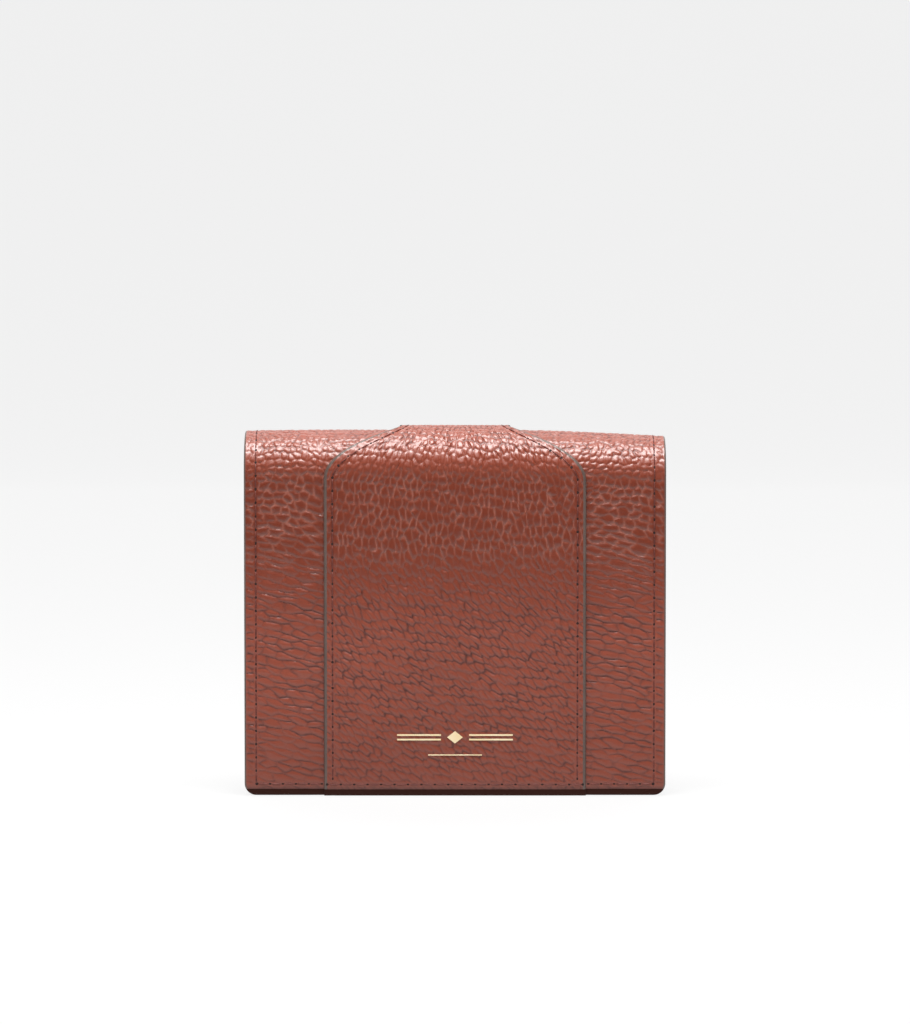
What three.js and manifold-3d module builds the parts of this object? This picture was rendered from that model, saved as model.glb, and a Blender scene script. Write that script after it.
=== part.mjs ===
// A trifold wallet, closed and standing on its bottom fold.
// Millimetres, +Z up. The front flap faces -Y, the zip pocket is on the back, at +Y.
// The origin is the middle of the wallet's footprint.
import * as THREE from 'three';
import { mergeVertices } from 'three/addons/utils/BufferGeometryUtils.js';
import Module from 'manifold-3d';

const wasm = await Module();
wasm.setup();

// ---------------------------------------------------------------- driving dimensions

const WIDTH = 102;
const HEIGHT = 89;
const DEPTH = 22;

const LEATHER = 1.2;
const OVERLAY = 1.05;
const LINING = 0.5;
const GAP = 0.1;

const FRONT_Y = -DEPTH / 2;
const BACK_Y = DEPTH / 2;
const CORNER_RADIUS = 3;

// The top fold is a half circle that rolls the shell from the back to the flap.
const TOP_ROLL = DEPTH / 2;
const TOP_CENTRE_Z = HEIGHT - TOP_ROLL;
const SHELL_ROLL = TOP_ROLL - OVERLAY - GAP;

// The bottom fold has two tight corners and a flat strip that the wallet stands on.
const BOTTOM_ROLL = 5;
const PANEL_FRONT_Y = -5.3;
const SHELL_BACK_Y = BACK_Y - OVERLAY - GAP;

// A leather corner of mean radius r, bent through a right angle, opens flat when it turns
// about a point that lies this many radii from the corner's centre, in Y and in Z.
const AXIS_SHIFT = Math.PI / 4;
const TOP_MEAN = SHELL_ROLL - LEATHER / 2;
const BOTTOM_MEAN = BOTTOM_ROLL - LEATHER / 2;
const TOP_AXIS_Y = AXIS_SHIFT * TOP_MEAN;
const TOP_AXIS_Z = TOP_CENTRE_Z + AXIS_SHIFT * TOP_MEAN;
const BOTTOM_AXIS_BACK_Y = SHELL_BACK_Y - BOTTOM_ROLL + AXIS_SHIFT * BOTTOM_MEAN;
const BOTTOM_AXIS_FRONT_Y = PANEL_FRONT_Y + BOTTOM_ROLL - AXIS_SHIFT * BOTTOM_MEAN;
const BOTTOM_AXIS_Z = BOTTOM_ROLL - AXIS_SHIFT * BOTTOM_MEAN;

// The fold strips stay inside these circles round their axes, and all else outside them.
const TOP_CLEAR = 8;
const BOTTOM_CLEAR = 3.8;
const FLAT_TOP_Z = 76.9;
const FLAT_BOTTOM_Z = 5.7;

const OVERLAY_WIDTH = 63.4;
const NECK_WIDTH = 27;
const OVERLAY_TOP_Z = 77.3;
const TAB_END_Z = 63;

const PANEL_TOP_Z = 49;
const PANEL_WIDTH = 100;
const POCKET_WIDTH = 98;

// The sheets inside the middle and the panel stand upright. Each is placed by its front face.
const POCKET_BOTTOM_Z = 7;
const POCKET_STEP = 9;
const POCKET_SHEET = 0.5;
const CARD_FRONT_Y = -1.3;
const CARD_TOP_Z = 66;
const BASE_SHEET = 0.6;
const BASE_TOP_Z = 74;
const DIVIDER_FRONT_Y = 3.4;
const DIVIDER_TOP_Z = 75;
const COIN_WALL_FRONT_Y = 5.3;
const PANEL_POCKET_BOTTOM_Z = 8;
const PANEL_POCKET_TOP_Z = 41;
const PANEL_POCKET_ROOM = 0.5;

const FILM_SHEET = 0.2;
const FILM = { halfWidth: 44, bottom: 25, top: 74, radius: 2 };
const FRAME = { halfWidth: 46, bottom: 21, top: 76, radius: 2 };
const FRAME_OPENING = { halfWidth: 40, bottom: 28, top: 70, radius: 3 };

const SNAP_Z = 13;
const SHANK_RADIUS = 0.9;
const SHANK_HOLE = 1.2;
const SNAP_RADIUS = 5;

const ZIP_Z = 52;
const ZIP_WINDOW = { halfWidth: 42, halfHeight: 5 };
const ZIP_REST_X = 33;
const ZIP_TAPE = { inner: 2.1, outer: 9, overlap: 3, thickness: 0.5 };
const ZIP_TEETH = { inner: 0.5, outer: 1.9, inset: 1.8, behind: 0.15, ahead: 0.65 };
const ZIP_STOP = { length: 1, gap: 0.2 };
const SLIDER = { halfLength: 4.5, halfHeight: 3.8, plate: 0.55, webHalf: 0.2, frontGap: 0.25,
  backGap: 0.3 };
const BRIDGE = { halfWidth: 0.7, halfHeight: 1.3, wall: 0.5, round: 0.3, lift: 0.02 };

// The pull's heights are measured down from the middle of the zip.
const RING = { halfWidth: 3.4, wire: 0.6, thickness: 0.5, bottom: 7.1, shoulder: 2, topHalf: 1.8,
  rise: 0.25 };
const PULL_TAB = { halfWidth: 2.4, bottom: 24, top: 5.6, chamfer: 0.3, slack: 0.1,
  slotBottom: 7.4, slotTop: 6.2, backWall: 0.05 };

// ---------------------------------------------------------------- materials

function finish(color, roughness, metalness = 0) {
  return new THREE.MeshStandardMaterial({ color, roughness, metalness });
}

const shellLeather = finish(0x86483b, 0.55);
const liningLeather = finish(0x6d4034, 0.7);
const pocketLeather = finish(0x7a4739, 0.6);
const clearFilm = finish(0xdfe4e2, 0.15);
const zipCloth = finish(0x4a2b24, 0.85);
const paleGold = finish(0xc9a878, 0.3, 1);
const steel = finish(0xb9b4ab, 0.35, 1);

// ---------------------------------------------------------------- shapes

// A rectangle in X and Z with rounded lower and upper corners.
function outline(halfWidth, bottomZ, topZ, bottomRadius, topRadius) {
  const shape = new THREE.Shape();
  shape.moveTo(-halfWidth + bottomRadius, bottomZ);
  shape.lineTo(halfWidth - bottomRadius, bottomZ);
  shape.absarc(halfWidth - bottomRadius, bottomZ + bottomRadius, bottomRadius, -Math.PI / 2, 0);
  shape.lineTo(halfWidth, topZ - topRadius);
  shape.absarc(halfWidth - topRadius, topZ - topRadius, topRadius, 0, Math.PI / 2);
  shape.lineTo(-halfWidth + topRadius, topZ);
  shape.absarc(-halfWidth + topRadius, topZ - topRadius, topRadius, Math.PI / 2, Math.PI);
  shape.lineTo(-halfWidth, bottomZ + bottomRadius);
  shape.absarc(-halfWidth + bottomRadius, bottomZ + bottomRadius, bottomRadius,
    Math.PI, Math.PI * 1.5);
  return shape;
}

// The same, from a named size with one radius for all four corners.
function evenOutline({ halfWidth, bottom, top, radius }) {
  return outline(halfWidth, bottom, top, radius, radius);
}

function roundHole(x, z, radius) {
  const hole = new THREE.Path();
  hole.absarc(x, z, radius, 0, Math.PI * 2, true);
  return hole;
}

// A sheet: an outline in X and Z, as thick as the stretch from frontY to backY.
function sheet(shape, frontY, backY) {
  const geometry = new THREE.ExtrudeGeometry(shape, {
    depth: backY - frontY, bevelEnabled: false, curveSegments: 5,
  });
  geometry.rotateX(Math.PI / 2);
  geometry.translate(0, backY, 0);
  return geometry;
}

// A bar: a profile in Y and Z, extruded along X.
function bar(profile, fromX, toX) {
  const geometry = new THREE.ExtrudeGeometry(profile, {
    depth: toX - fromX, bevelEnabled: false, curveSegments: 5,
  });
  geometry.applyMatrix4(new THREE.Matrix4().makeBasis(
    new THREE.Vector3(0, 1, 0), new THREE.Vector3(0, 0, 1), new THREE.Vector3(1, 0, 0)));
  geometry.translate(fromX, 0, 0);
  return geometry;
}

function block(fromX, toX, fromY, toY, fromZ, toZ) {
  const geometry = new THREE.BoxGeometry(toX - fromX, toY - fromY, toZ - fromZ);
  geometry.translate((fromX + toX) / 2, (fromY + toY) / 2, (fromZ + toZ) / 2);
  return geometry;
}

// A solid of revolution about a line along Y through (x, z). Points are [radius, y], and
// run from the end with the lower y round the outside to the other end.
function turned(points, x, z) {
  const profile = points.map(([radius, y]) => new THREE.Vector2(radius, y));
  const geometry = new THREE.LatheGeometry(profile, 24);
  geometry.translate(x, 0, z);
  return geometry;
}

// A strip that follows a fold. Each station has an outer and an inner point in Y and Z,
// and half the strip's width there.
function foldStrip(stations) {
  const positions = [];
  const index = [];
  for (const { outer, inner, halfWidth } of stations) {
    positions.push(-halfWidth, outer[0], outer[1]);
    positions.push(halfWidth, outer[0], outer[1]);
    positions.push(halfWidth, inner[0], inner[1]);
    positions.push(-halfWidth, inner[0], inner[1]);
  }
  for (let row = 0; row + 1 < stations.length; row += 1) {
    for (let side = 0; side < 4; side += 1) {
      const a = row * 4 + side;
      const b = row * 4 + (side + 1) % 4;
      index.push(a, b + 4, b);
      index.push(a, a + 4, b + 4);
    }
  }
  const last = (stations.length - 1) * 4;
  index.push(0, 1, 2);
  index.push(0, 2, 3);
  index.push(last, last + 2, last + 1);
  index.push(last, last + 3, last + 2);
  const geometry = new THREE.BufferGeometry();
  geometry.setAttribute('position', new THREE.Float32BufferAttribute(positions, 3));
  geometry.setIndex(index);
  return geometry;
}

// Where the circle of a given radius round a fold axis crosses the line y = constant.
function circleCut(y, axisY, axisZ, radius, upward) {
  const rise = Math.sqrt(radius * radius - (y - axisY) * (y - axisY));
  return axisZ + (upward ? rise : -rise);
}

// The half-round layer of the top fold between two radii, from the back round to the front.
function topFoldStations(outerRadius, innerRadius, halfWidthAt) {
  const stations = [];
  const steps = 24;
  for (let step = 0; step <= steps; step += 1) {
    const angle = Math.PI * step / steps;
    const outer = [outerRadius * Math.cos(angle), TOP_CENTRE_Z + outerRadius * Math.sin(angle)];
    const inner = [innerRadius * Math.cos(angle), TOP_CENTRE_Z + innerRadius * Math.sin(angle)];
    if (step === 0 || step === steps) {
      const axisY = step === 0 ? TOP_AXIS_Y : -TOP_AXIS_Y;
      outer[1] = circleCut(outer[0], axisY, TOP_AXIS_Z, TOP_CLEAR, false);
      inner[1] = circleCut(inner[0], axisY, TOP_AXIS_Z, TOP_CLEAR, false);
    }
    stations.push({ outer, inner, halfWidth: halfWidthAt(angle) });
  }
  return stations;
}

// The layer of the bottom fold between two corner radii, from the panel round to the back.
function bottomFoldStations(outerRadius, innerRadius, halfWidth) {
  const stations = [];
  const steps = 8;
  const corners = [
    { y: SHELL_BACK_Y - BOTTOM_ROLL, axisY: BOTTOM_AXIS_BACK_Y, from: 0 },
    { y: PANEL_FRONT_Y + BOTTOM_ROLL, axisY: BOTTOM_AXIS_FRONT_Y, from: -Math.PI / 2 },
  ];
  corners.forEach((corner, cornerIndex) => {
    for (let step = 0; step <= steps; step += 1) {
      const angle = corner.from - Math.PI / 2 * step / steps;
      const along = Math.cos(angle);
      const up = Math.sin(angle);
      const outer = [corner.y + outerRadius * along, BOTTOM_ROLL + outerRadius * up];
      const inner = [corner.y + innerRadius * along, BOTTOM_ROLL + innerRadius * up];
      const row = cornerIndex * steps + step;
      if (row === 0 || row === 2 * steps) {
        outer[1] = circleCut(outer[0], corner.axisY, BOTTOM_AXIS_Z, BOTTOM_CLEAR, true);
        inner[1] = circleCut(inner[0], corner.axisY, BOTTOM_AXIS_Z, BOTTOM_CLEAR, true);
      }
      stations.push({ outer, inner, halfWidth });
    }
  });
  return stations.reverse();
}

// ---------------------------------------------------------------- boolean cut

function toSolid(geometry) {
  const bare = geometry.clone();
  bare.deleteAttribute('normal');
  bare.deleteAttribute('uv');
  const merged = mergeVertices(bare, 1e-4);
  return new wasm.Manifold(new wasm.Mesh({
    numProp: 3,
    vertProperties: new Float32Array(merged.attributes.position.array),
    triVerts: new Uint32Array(merged.index.array),
  }));
}

function cutAway(geometry, cutters) {
  let solid = toSolid(geometry);
  for (const cutter of cutters) {
    solid = solid.subtract(toSolid(cutter));
  }
  const mesh = solid.getMesh();
  const result = new THREE.BufferGeometry();
  result.setAttribute('position', new THREE.Float32BufferAttribute(mesh.vertProperties, 3));
  result.setIndex(Array.from(mesh.triVerts));
  return result;
}

// ---------------------------------------------------------------- assembly

const wallet = new THREE.Group();

function add(name, geometry, material) {
  const mesh = new THREE.Mesh(geometry, material);
  mesh.name = name;
  wallet.add(mesh);
}

// A stack of layers is laid out from one face, each layer a gap behind the last.
function layersFrom(startY, thicknesses, gap = GAP) {
  let y = startY;
  return thicknesses.map((thickness) => {
    const layer = { front: y, back: y + thickness };
    y += thickness + gap;
    return layer;
  });
}

function buildFlap() {
  const [cover, leather, lining, film, frame] = layersFrom(FRONT_Y,
    [OVERLAY, LEATHER, LINING, FILM_SHEET, POCKET_SHEET]);
  const halfWidth = WIDTH / 2;
  const capDepth = 0.6;

  // The overlay is straight up to the fold, where its neck takes over.
  const cover2d = new THREE.Shape();
  const half = OVERLAY_WIDTH / 2;
  cover2d.moveTo(-half, 0);
  cover2d.lineTo(half, 0);
  cover2d.lineTo(half, OVERLAY_TOP_Z);
  cover2d.lineTo(-half, OVERLAY_TOP_Z);
  add('overlay_front', sheet(cover2d, cover.front, cover.back), shellLeather);

  const flapBlank = sheet(outline(halfWidth, 0, FLAT_TOP_Z, CORNER_RADIUS, 0.5),
    leather.front, leather.back);
  const recess = turned([[0, leather.front - 1], [SNAP_RADIUS + 0.2, leather.front - 1],
    [SNAP_RADIUS + 0.2, leather.front + capDepth], [0, leather.front + capDepth]], 0, SNAP_Z);
  const shankHole = turned([[0, leather.front - 1], [SHANK_HOLE, leather.front - 1],
    [SHANK_HOLE, leather.back + 1], [0, leather.back + 1]], 0, SNAP_Z);
  add('flap_leather', cutAway(flapBlank, [recess, shankHole]), shellLeather);

  const lining2d = outline(halfWidth - 0.4, 0.6, FLAT_TOP_Z, CORNER_RADIUS, 0.5);
  lining2d.holes.push(roundHole(0, SNAP_Z, SHANK_HOLE));
  add('flap_lining', sheet(lining2d, lining.front, lining.back), liningLeather);

  add('id_window_film', sheet(evenOutline(FILM), film.front, film.back), clearFilm);

  const frame2d = evenOutline(FRAME);
  const windowPath = new THREE.Path();
  windowPath.setFromPoints(evenOutline(FRAME_OPENING).getPoints(5).reverse());
  frame2d.holes.push(windowPath);
  add('id_window_frame', sheet(frame2d, frame.front, frame.back), pocketLeather);

  const capFront = leather.front + 0.05;
  const capBack = leather.front + capDepth - 0.05;
  const shankEnd = lining.back + 0.02;
  add('snap_cap', turned([[0, capFront], [SNAP_RADIUS, capFront + 0.15], [SNAP_RADIUS, capBack],
    [SHANK_RADIUS, capBack], [SHANK_RADIUS, shankEnd], [0, shankEnd]], 0, SNAP_Z), steel);

  const cupFloor = lining.back + 0.06;
  const cupRim = cupFloor + 1.7;
  add('snap_socket', turned([[0, cupFloor], [SNAP_RADIUS, cupFloor], [SNAP_RADIUS, cupRim - 0.5],
    [SNAP_RADIUS - 0.6, cupRim], [3, cupRim], [2.7, cupRim - 0.3], [2.7, cupFloor + 0.3],
    [0, cupFloor + 0.3]], 0, SNAP_Z), paleGold);
}

function buildTopFold() {
  add('top_fold_leather', foldStrip(topFoldStations(SHELL_ROLL, SHELL_ROLL - LEATHER,
    () => WIDTH / 2)), shellLeather);
  const liningOuter = SHELL_ROLL - LEATHER - GAP;
  add('top_fold_lining', foldStrip(topFoldStations(liningOuter, liningOuter - LINING,
    () => WIDTH / 2 - 0.4)), liningLeather);

  // Shoulders: full width where the fold meets the flap, narrowing to the neck on top.
  const neckHalf = NECK_WIDTH / 2;
  const overlayHalf = OVERLAY_WIDTH / 2;
  const halfWidthAt = (angle) => {
    const fromFlap = (Math.PI - angle) / (Math.PI / 2);
    if (fromFlap >= 1) {
      return neckHalf;
    }
    return neckHalf + (overlayHalf - neckHalf) * Math.pow(1 - fromFlap, 1.2);
  };
  add('overlay_neck', foldStrip(topFoldStations(TOP_ROLL, TOP_ROLL - OVERLAY, halfWidthAt)),
    shellLeather);
}

function buildBack() {
  const leatherFront = SHELL_BACK_Y - LEATHER;
  const liningBack = leatherFront - GAP;
  const windowPoints = outline(ZIP_WINDOW.halfWidth, ZIP_Z - ZIP_WINDOW.halfHeight,
    ZIP_Z + ZIP_WINDOW.halfHeight, 2.5, 2.5).getPoints(5).reverse();

  const leather2d = outline(WIDTH / 2, FLAT_BOTTOM_Z, FLAT_TOP_Z, 0.5, 0.5);
  leather2d.holes.push(new THREE.Path().setFromPoints(windowPoints));
  add('back_leather', sheet(leather2d, leatherFront, SHELL_BACK_Y), shellLeather);

  const lining2d = outline(WIDTH / 2 - 0.4, FLAT_BOTTOM_Z, FLAT_TOP_Z, 0.5, 0.5);
  lining2d.holes.push(new THREE.Path().setFromPoints(windowPoints));
  add('back_lining', sheet(lining2d, liningBack - LINING, liningBack), liningLeather);

  add('overlay_back_tab', sheet(outline(NECK_WIDTH / 2, TAB_END_Z, OVERLAY_TOP_Z, 9, 0.5),
    BACK_Y - OVERLAY, BACK_Y), shellLeather);

  add('coin_pocket_wall', sheet(pocketOutline(BASE_TOP_Z),
    COIN_WALL_FRONT_Y, COIN_WALL_FRONT_Y + POCKET_SHEET), zipCloth);
  add('bill_divider', sheet(pocketOutline(DIVIDER_TOP_Z),
    DIVIDER_FRONT_Y, DIVIDER_FRONT_Y + BASE_SHEET), liningLeather);
}

function pocketOutline(topZ, bottomZ = POCKET_BOTTOM_Z) {
  return outline(POCKET_WIDTH / 2, bottomZ, topZ, 1, 1);
}

function buildCardPockets() {
  const [lowest, low, high, highest, base] = layersFrom(CARD_FRONT_Y,
    [POCKET_SHEET, POCKET_SHEET, POCKET_SHEET, POCKET_SHEET, BASE_SHEET]);
  add('middle_base', sheet(pocketOutline(BASE_TOP_Z), base.front, base.back), liningLeather);
  [highest, high, low, lowest].forEach((layer, tier) => {
    add(`card_tier_${tier + 1}`, sheet(pocketOutline(CARD_TOP_Z - POCKET_STEP * tier),
      layer.front, layer.back), pocketLeather);
  });
}

function buildZip() {
  const tapeBack = SHELL_BACK_Y - LEATHER - GAP - LINING - GAP;
  const tapeFront = tapeBack - ZIP_TAPE.thickness;
  const toothFrom = tapeFront - ZIP_TEETH.behind;
  const toothTo = tapeBack + ZIP_TEETH.ahead;
  const half = ZIP_WINDOW.halfWidth + ZIP_TAPE.overlap;
  const rowHalf = ZIP_WINDOW.halfWidth - ZIP_TEETH.inset;
  for (const [name, side] of [['upper', 1], ['lower', -1]]) {
    const tapeZ = [ZIP_Z + side * ZIP_TAPE.inner, ZIP_Z + side * ZIP_TAPE.outer];
    add(`zip_tape_${name}`, block(-half, half, tapeFront, tapeBack,
      Math.min(...tapeZ), Math.max(...tapeZ)), zipCloth);
    const rowZ = [ZIP_Z + side * ZIP_TEETH.inner, ZIP_Z + side * ZIP_TEETH.outer];
    add(`zip_teeth_${name}`, block(-rowHalf, rowHalf, toothFrom, toothTo,
      Math.min(...rowZ), Math.max(...rowZ)), paleGold);
  }
  const stopReach = ZIP_STOP.gap + ZIP_STOP.length;
  for (const [name, x] of [['left', -rowHalf - stopReach], ['right', rowHalf + ZIP_STOP.gap]]) {
    add(`zip_stop_${name}`, block(x, x + ZIP_STOP.length, toothFrom, toothTo,
      ZIP_Z - ZIP_TEETH.outer, ZIP_Z + ZIP_TEETH.outer), paleGold);
  }
  const plateFront = toothTo + SLIDER.frontGap;
  buildSlider([plateFront, plateFront + SLIDER.plate], toothFrom - SLIDER.backGap);
  buildBridge(plateFront + SLIDER.plate + BRIDGE.lift);
  buildPull();
}

// The slider: two plates joined by a web that passes between the tooth rows.
function buildSlider(outer, innerBack) {
  const innerFront = innerBack - SLIDER.plate;
  const body = new THREE.Shape();
  body.moveTo(outer[1], ZIP_Z - SLIDER.halfHeight);
  body.lineTo(outer[1], ZIP_Z + SLIDER.halfHeight);
  body.lineTo(outer[0], ZIP_Z + SLIDER.halfHeight);
  body.lineTo(outer[0], ZIP_Z + SLIDER.webHalf);
  body.lineTo(innerBack, ZIP_Z + SLIDER.webHalf);
  body.lineTo(innerBack, ZIP_Z + SLIDER.halfHeight);
  body.lineTo(innerFront, ZIP_Z + SLIDER.halfHeight);
  body.lineTo(innerFront, ZIP_Z - SLIDER.halfHeight);
  body.lineTo(innerBack, ZIP_Z - SLIDER.halfHeight);
  body.lineTo(innerBack, ZIP_Z - SLIDER.webHalf);
  body.lineTo(outer[0], ZIP_Z - SLIDER.webHalf);
  body.lineTo(outer[0], ZIP_Z - SLIDER.halfHeight);
  add('zip_slider', bar(body, ZIP_REST_X - SLIDER.halfLength, ZIP_REST_X + SLIDER.halfLength),
    paleGold);
}

// The bridge arches over the slider's outer plate and holds the ring.
function buildBridge(footY) {
  const topY = BACK_Y;
  const shoulderY = BACK_Y - BRIDGE.round;
  const flatHalf = BRIDGE.halfHeight - BRIDGE.round;
  const innerHalf = BRIDGE.halfHeight - BRIDGE.wall;
  const arch = new THREE.Shape();
  arch.moveTo(footY, ZIP_Z - BRIDGE.halfHeight);
  arch.lineTo(shoulderY, ZIP_Z - BRIDGE.halfHeight);
  arch.lineTo(topY, ZIP_Z - flatHalf);
  arch.lineTo(topY, ZIP_Z + flatHalf);
  arch.lineTo(shoulderY, ZIP_Z + BRIDGE.halfHeight);
  arch.lineTo(footY, ZIP_Z + BRIDGE.halfHeight);
  arch.lineTo(footY, ZIP_Z + innerHalf);
  arch.lineTo(shoulderY, ZIP_Z + innerHalf);
  arch.lineTo(shoulderY, ZIP_Z - innerHalf);
  arch.lineTo(footY, ZIP_Z - innerHalf);
  add('zip_bridge', bar(arch, ZIP_REST_X - BRIDGE.halfWidth, ZIP_REST_X + BRIDGE.halfWidth),
    paleGold);
}

// Half of the ring's outline, as [x from its middle, z from the zip's], from the bottom up.
function ringPoints(inward) {
  return [
    [RING.halfWidth - inward, -RING.bottom + inward],
    [RING.halfWidth - inward, -RING.shoulder - inward / 3],
    [RING.topHalf - inward / 2, RING.rise - inward * 5 / 6],
  ];
}

function ringLoop(inward) {
  const right = ringPoints(inward);
  const left = right.map(([x, z]) => [-x, z]).reverse();
  return [...right, ...left].map(([x, z]) => new THREE.Vector2(ZIP_REST_X + x, ZIP_Z + z));
}

// The pull: a flat ring through the bridge, and a leather tab looped on its lower bar.
function buildPull() {
  const ringFront = SHELL_BACK_Y + GAP;
  const ringBack = ringFront + RING.thickness;
  const ring = new THREE.Shape(ringLoop(0));
  ring.holes.push(new THREE.Path(ringLoop(RING.wire).reverse()));
  add('zip_pull_ring', sheet(ring, ringFront, ringBack), paleGold);

  const slotFront = ringFront - PULL_TAB.slack / 10;
  const tabFront = slotFront - PULL_TAB.backWall;
  const tab = new THREE.Shape();
  tab.moveTo(tabFront, ZIP_Z - PULL_TAB.bottom);
  tab.lineTo(BACK_Y, ZIP_Z - PULL_TAB.bottom);
  tab.lineTo(BACK_Y, ZIP_Z - PULL_TAB.top - PULL_TAB.chamfer);
  tab.lineTo(BACK_Y - PULL_TAB.chamfer, ZIP_Z - PULL_TAB.top);
  tab.lineTo(tabFront, ZIP_Z - PULL_TAB.top);
  const slot = new THREE.Path();
  slot.moveTo(slotFront, ZIP_Z - PULL_TAB.slotBottom);
  slot.lineTo(slotFront, ZIP_Z - PULL_TAB.slotTop);
  slot.lineTo(ringBack + PULL_TAB.slack, ZIP_Z - PULL_TAB.slotTop);
  slot.lineTo(ringBack + PULL_TAB.slack, ZIP_Z - PULL_TAB.slotBottom);
  tab.holes.push(slot);
  add('zip_pull_tab', bar(tab, ZIP_REST_X - PULL_TAB.halfWidth, ZIP_REST_X + PULL_TAB.halfWidth),
    shellLeather);
}

function buildBottomFold() {
  add('bottom_fold_leather', foldStrip(bottomFoldStations(BOTTOM_ROLL, BOTTOM_ROLL - LEATHER,
    PANEL_WIDTH / 2)), shellLeather);
  const liningOuter = BOTTOM_ROLL - LEATHER - GAP;
  add('bottom_fold_lining', foldStrip(bottomFoldStations(liningOuter, liningOuter - LINING,
    PANEL_WIDTH / 2 - 0.4)), liningLeather);
}

function buildThirdPanel() {
  const half = PANEL_WIDTH / 2;
  const [leather, lining] = layersFrom(PANEL_FRONT_Y, [LEATHER, LINING]);

  const leather2d = outline(half, FLAT_BOTTOM_Z, PANEL_TOP_Z, 0.5, 4);
  leather2d.holes.push(roundHole(0, SNAP_Z, SHANK_HOLE));
  add('panel_leather', sheet(leather2d, leather.front, leather.back), shellLeather);

  const lining2d = outline(half - 0.4, FLAT_BOTTOM_Z, PANEL_TOP_Z - 0.4, 0.5, 4);
  lining2d.holes.push(roundHole(0, SNAP_Z, SHANK_HOLE));
  add('panel_lining', sheet(lining2d, lining.front, lining.back), liningLeather);

  const tiers = layersFrom(lining.back + PANEL_POCKET_ROOM, [POCKET_SHEET, POCKET_SHEET]);
  tiers.forEach((layer, tier) => {
    const topZ = PANEL_POCKET_TOP_Z - POCKET_STEP * tier;
    add(`panel_tier_${tier + 1}`, sheet(pocketOutline(topZ, PANEL_POCKET_BOTTOM_Z),
      layer.front, layer.back), pocketLeather);
  });

  const baseFront = leather.front - 0.35;
  const knobTip = baseFront - 1.95;
  add('snap_stud', turned([[0, knobTip], [1.2, knobTip], [1.7, knobTip + 0.25],
    [1.9, knobTip + 0.75], [1.5, knobTip + 1.15], [1.5, baseFront], [SNAP_RADIUS - 1, baseFront],
    [SNAP_RADIUS - 1, leather.front - 0.05], [0, leather.front - 0.05]], 0, SNAP_Z), paleGold);
  const capFront = lining.back + 0.05;
  add('snap_post', turned([[0, leather.front], [SHANK_RADIUS, leather.front],
    [SHANK_RADIUS, capFront], [3.5, capFront], [3.5, capFront + 0.25], [3, capFront + 0.35],
    [0, capFront + 0.35]], 0, SNAP_Z), steel);
}

buildFlap();
buildTopFold();
buildBack();
buildCardPockets();
buildZip();
buildBottomFold();
buildThirdPanel();

export default wallet;
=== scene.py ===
"""A trifold wallet in pebbled leather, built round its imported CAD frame.

The shell is described by one developed coordinate, s, in millimetres: it runs from the flap's
lower edge up the front, over the top fold, down the back, under the bottom fold and up the
third panel. Every leather layer is a sheet at its own offset from the shell's outer face.
"""

import math
from dataclasses import dataclass

import bmesh
import bpy
import numpy as np
from mathutils import Matrix, Vector


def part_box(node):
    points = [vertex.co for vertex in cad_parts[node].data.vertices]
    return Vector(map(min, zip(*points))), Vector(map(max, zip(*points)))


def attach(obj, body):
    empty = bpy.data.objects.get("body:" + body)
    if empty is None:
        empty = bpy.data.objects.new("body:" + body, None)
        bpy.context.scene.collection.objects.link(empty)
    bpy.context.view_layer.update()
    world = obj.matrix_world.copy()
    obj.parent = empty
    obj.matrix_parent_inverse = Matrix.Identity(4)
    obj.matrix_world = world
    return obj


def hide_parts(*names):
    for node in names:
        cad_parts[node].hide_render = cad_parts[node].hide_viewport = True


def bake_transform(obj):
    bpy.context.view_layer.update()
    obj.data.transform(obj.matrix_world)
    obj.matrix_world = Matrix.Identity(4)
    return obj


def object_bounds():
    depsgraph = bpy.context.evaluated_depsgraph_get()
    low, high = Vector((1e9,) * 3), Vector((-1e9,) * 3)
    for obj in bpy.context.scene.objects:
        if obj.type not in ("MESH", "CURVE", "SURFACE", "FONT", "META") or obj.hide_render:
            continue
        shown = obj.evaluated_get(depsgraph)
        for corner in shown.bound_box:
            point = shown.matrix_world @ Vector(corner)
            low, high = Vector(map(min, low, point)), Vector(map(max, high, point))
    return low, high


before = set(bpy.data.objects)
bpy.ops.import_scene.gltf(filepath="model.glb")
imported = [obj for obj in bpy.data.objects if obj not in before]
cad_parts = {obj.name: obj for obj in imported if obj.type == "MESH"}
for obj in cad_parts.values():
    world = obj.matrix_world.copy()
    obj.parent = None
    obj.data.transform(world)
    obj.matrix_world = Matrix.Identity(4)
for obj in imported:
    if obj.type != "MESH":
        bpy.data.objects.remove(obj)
cad_low, cad_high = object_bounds()

MM = 0.001
TAU = 2 * math.pi
QUARTER = math.pi / 2


def box_mm(node):
    """Lowest and highest corner of a CAD node, in millimetres."""
    low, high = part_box(node)
    return np.array(low) / MM, np.array(high) / MM


# ---------------------------------------------------------------- sizes, from the frame

flap_low, flap_high = box_mm("flap_leather")
fold_high = box_mm("top_fold_leather")[1]
cover_low, cover_high = box_mm("overlay_front")
tab_low, tab_high = box_mm("overlay_back_tab")
panel_low, panel_high = box_mm("panel_leather")
stud_low, stud_high = box_mm("snap_stud")
slider_low, slider_high = box_mm("zip_slider")
ring_low, ring_high = box_mm("zip_pull_ring")
pull_low = box_mm("zip_pull_tab")[0]

HALF_WIDTH = flap_high[0]
PANEL_HALF = panel_high[0]
LEATHER = flap_high[1] - flap_low[1]
ROLL = fold_high[1]
FOLD_Z = fold_high[2] - ROLL
BOTTOM_CORNER = 5.0
PANEL_Y = panel_low[1]
OVER = flap_low[1] - cover_high[1]
OVER_TOP = flap_low[1] - cover_low[1]
LINING = 0.5
LINING_OUT = -(LEATHER + 0.1)
LINING_IN = LINING_OUT - LINING
LINING_INSET = 0.4

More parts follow.
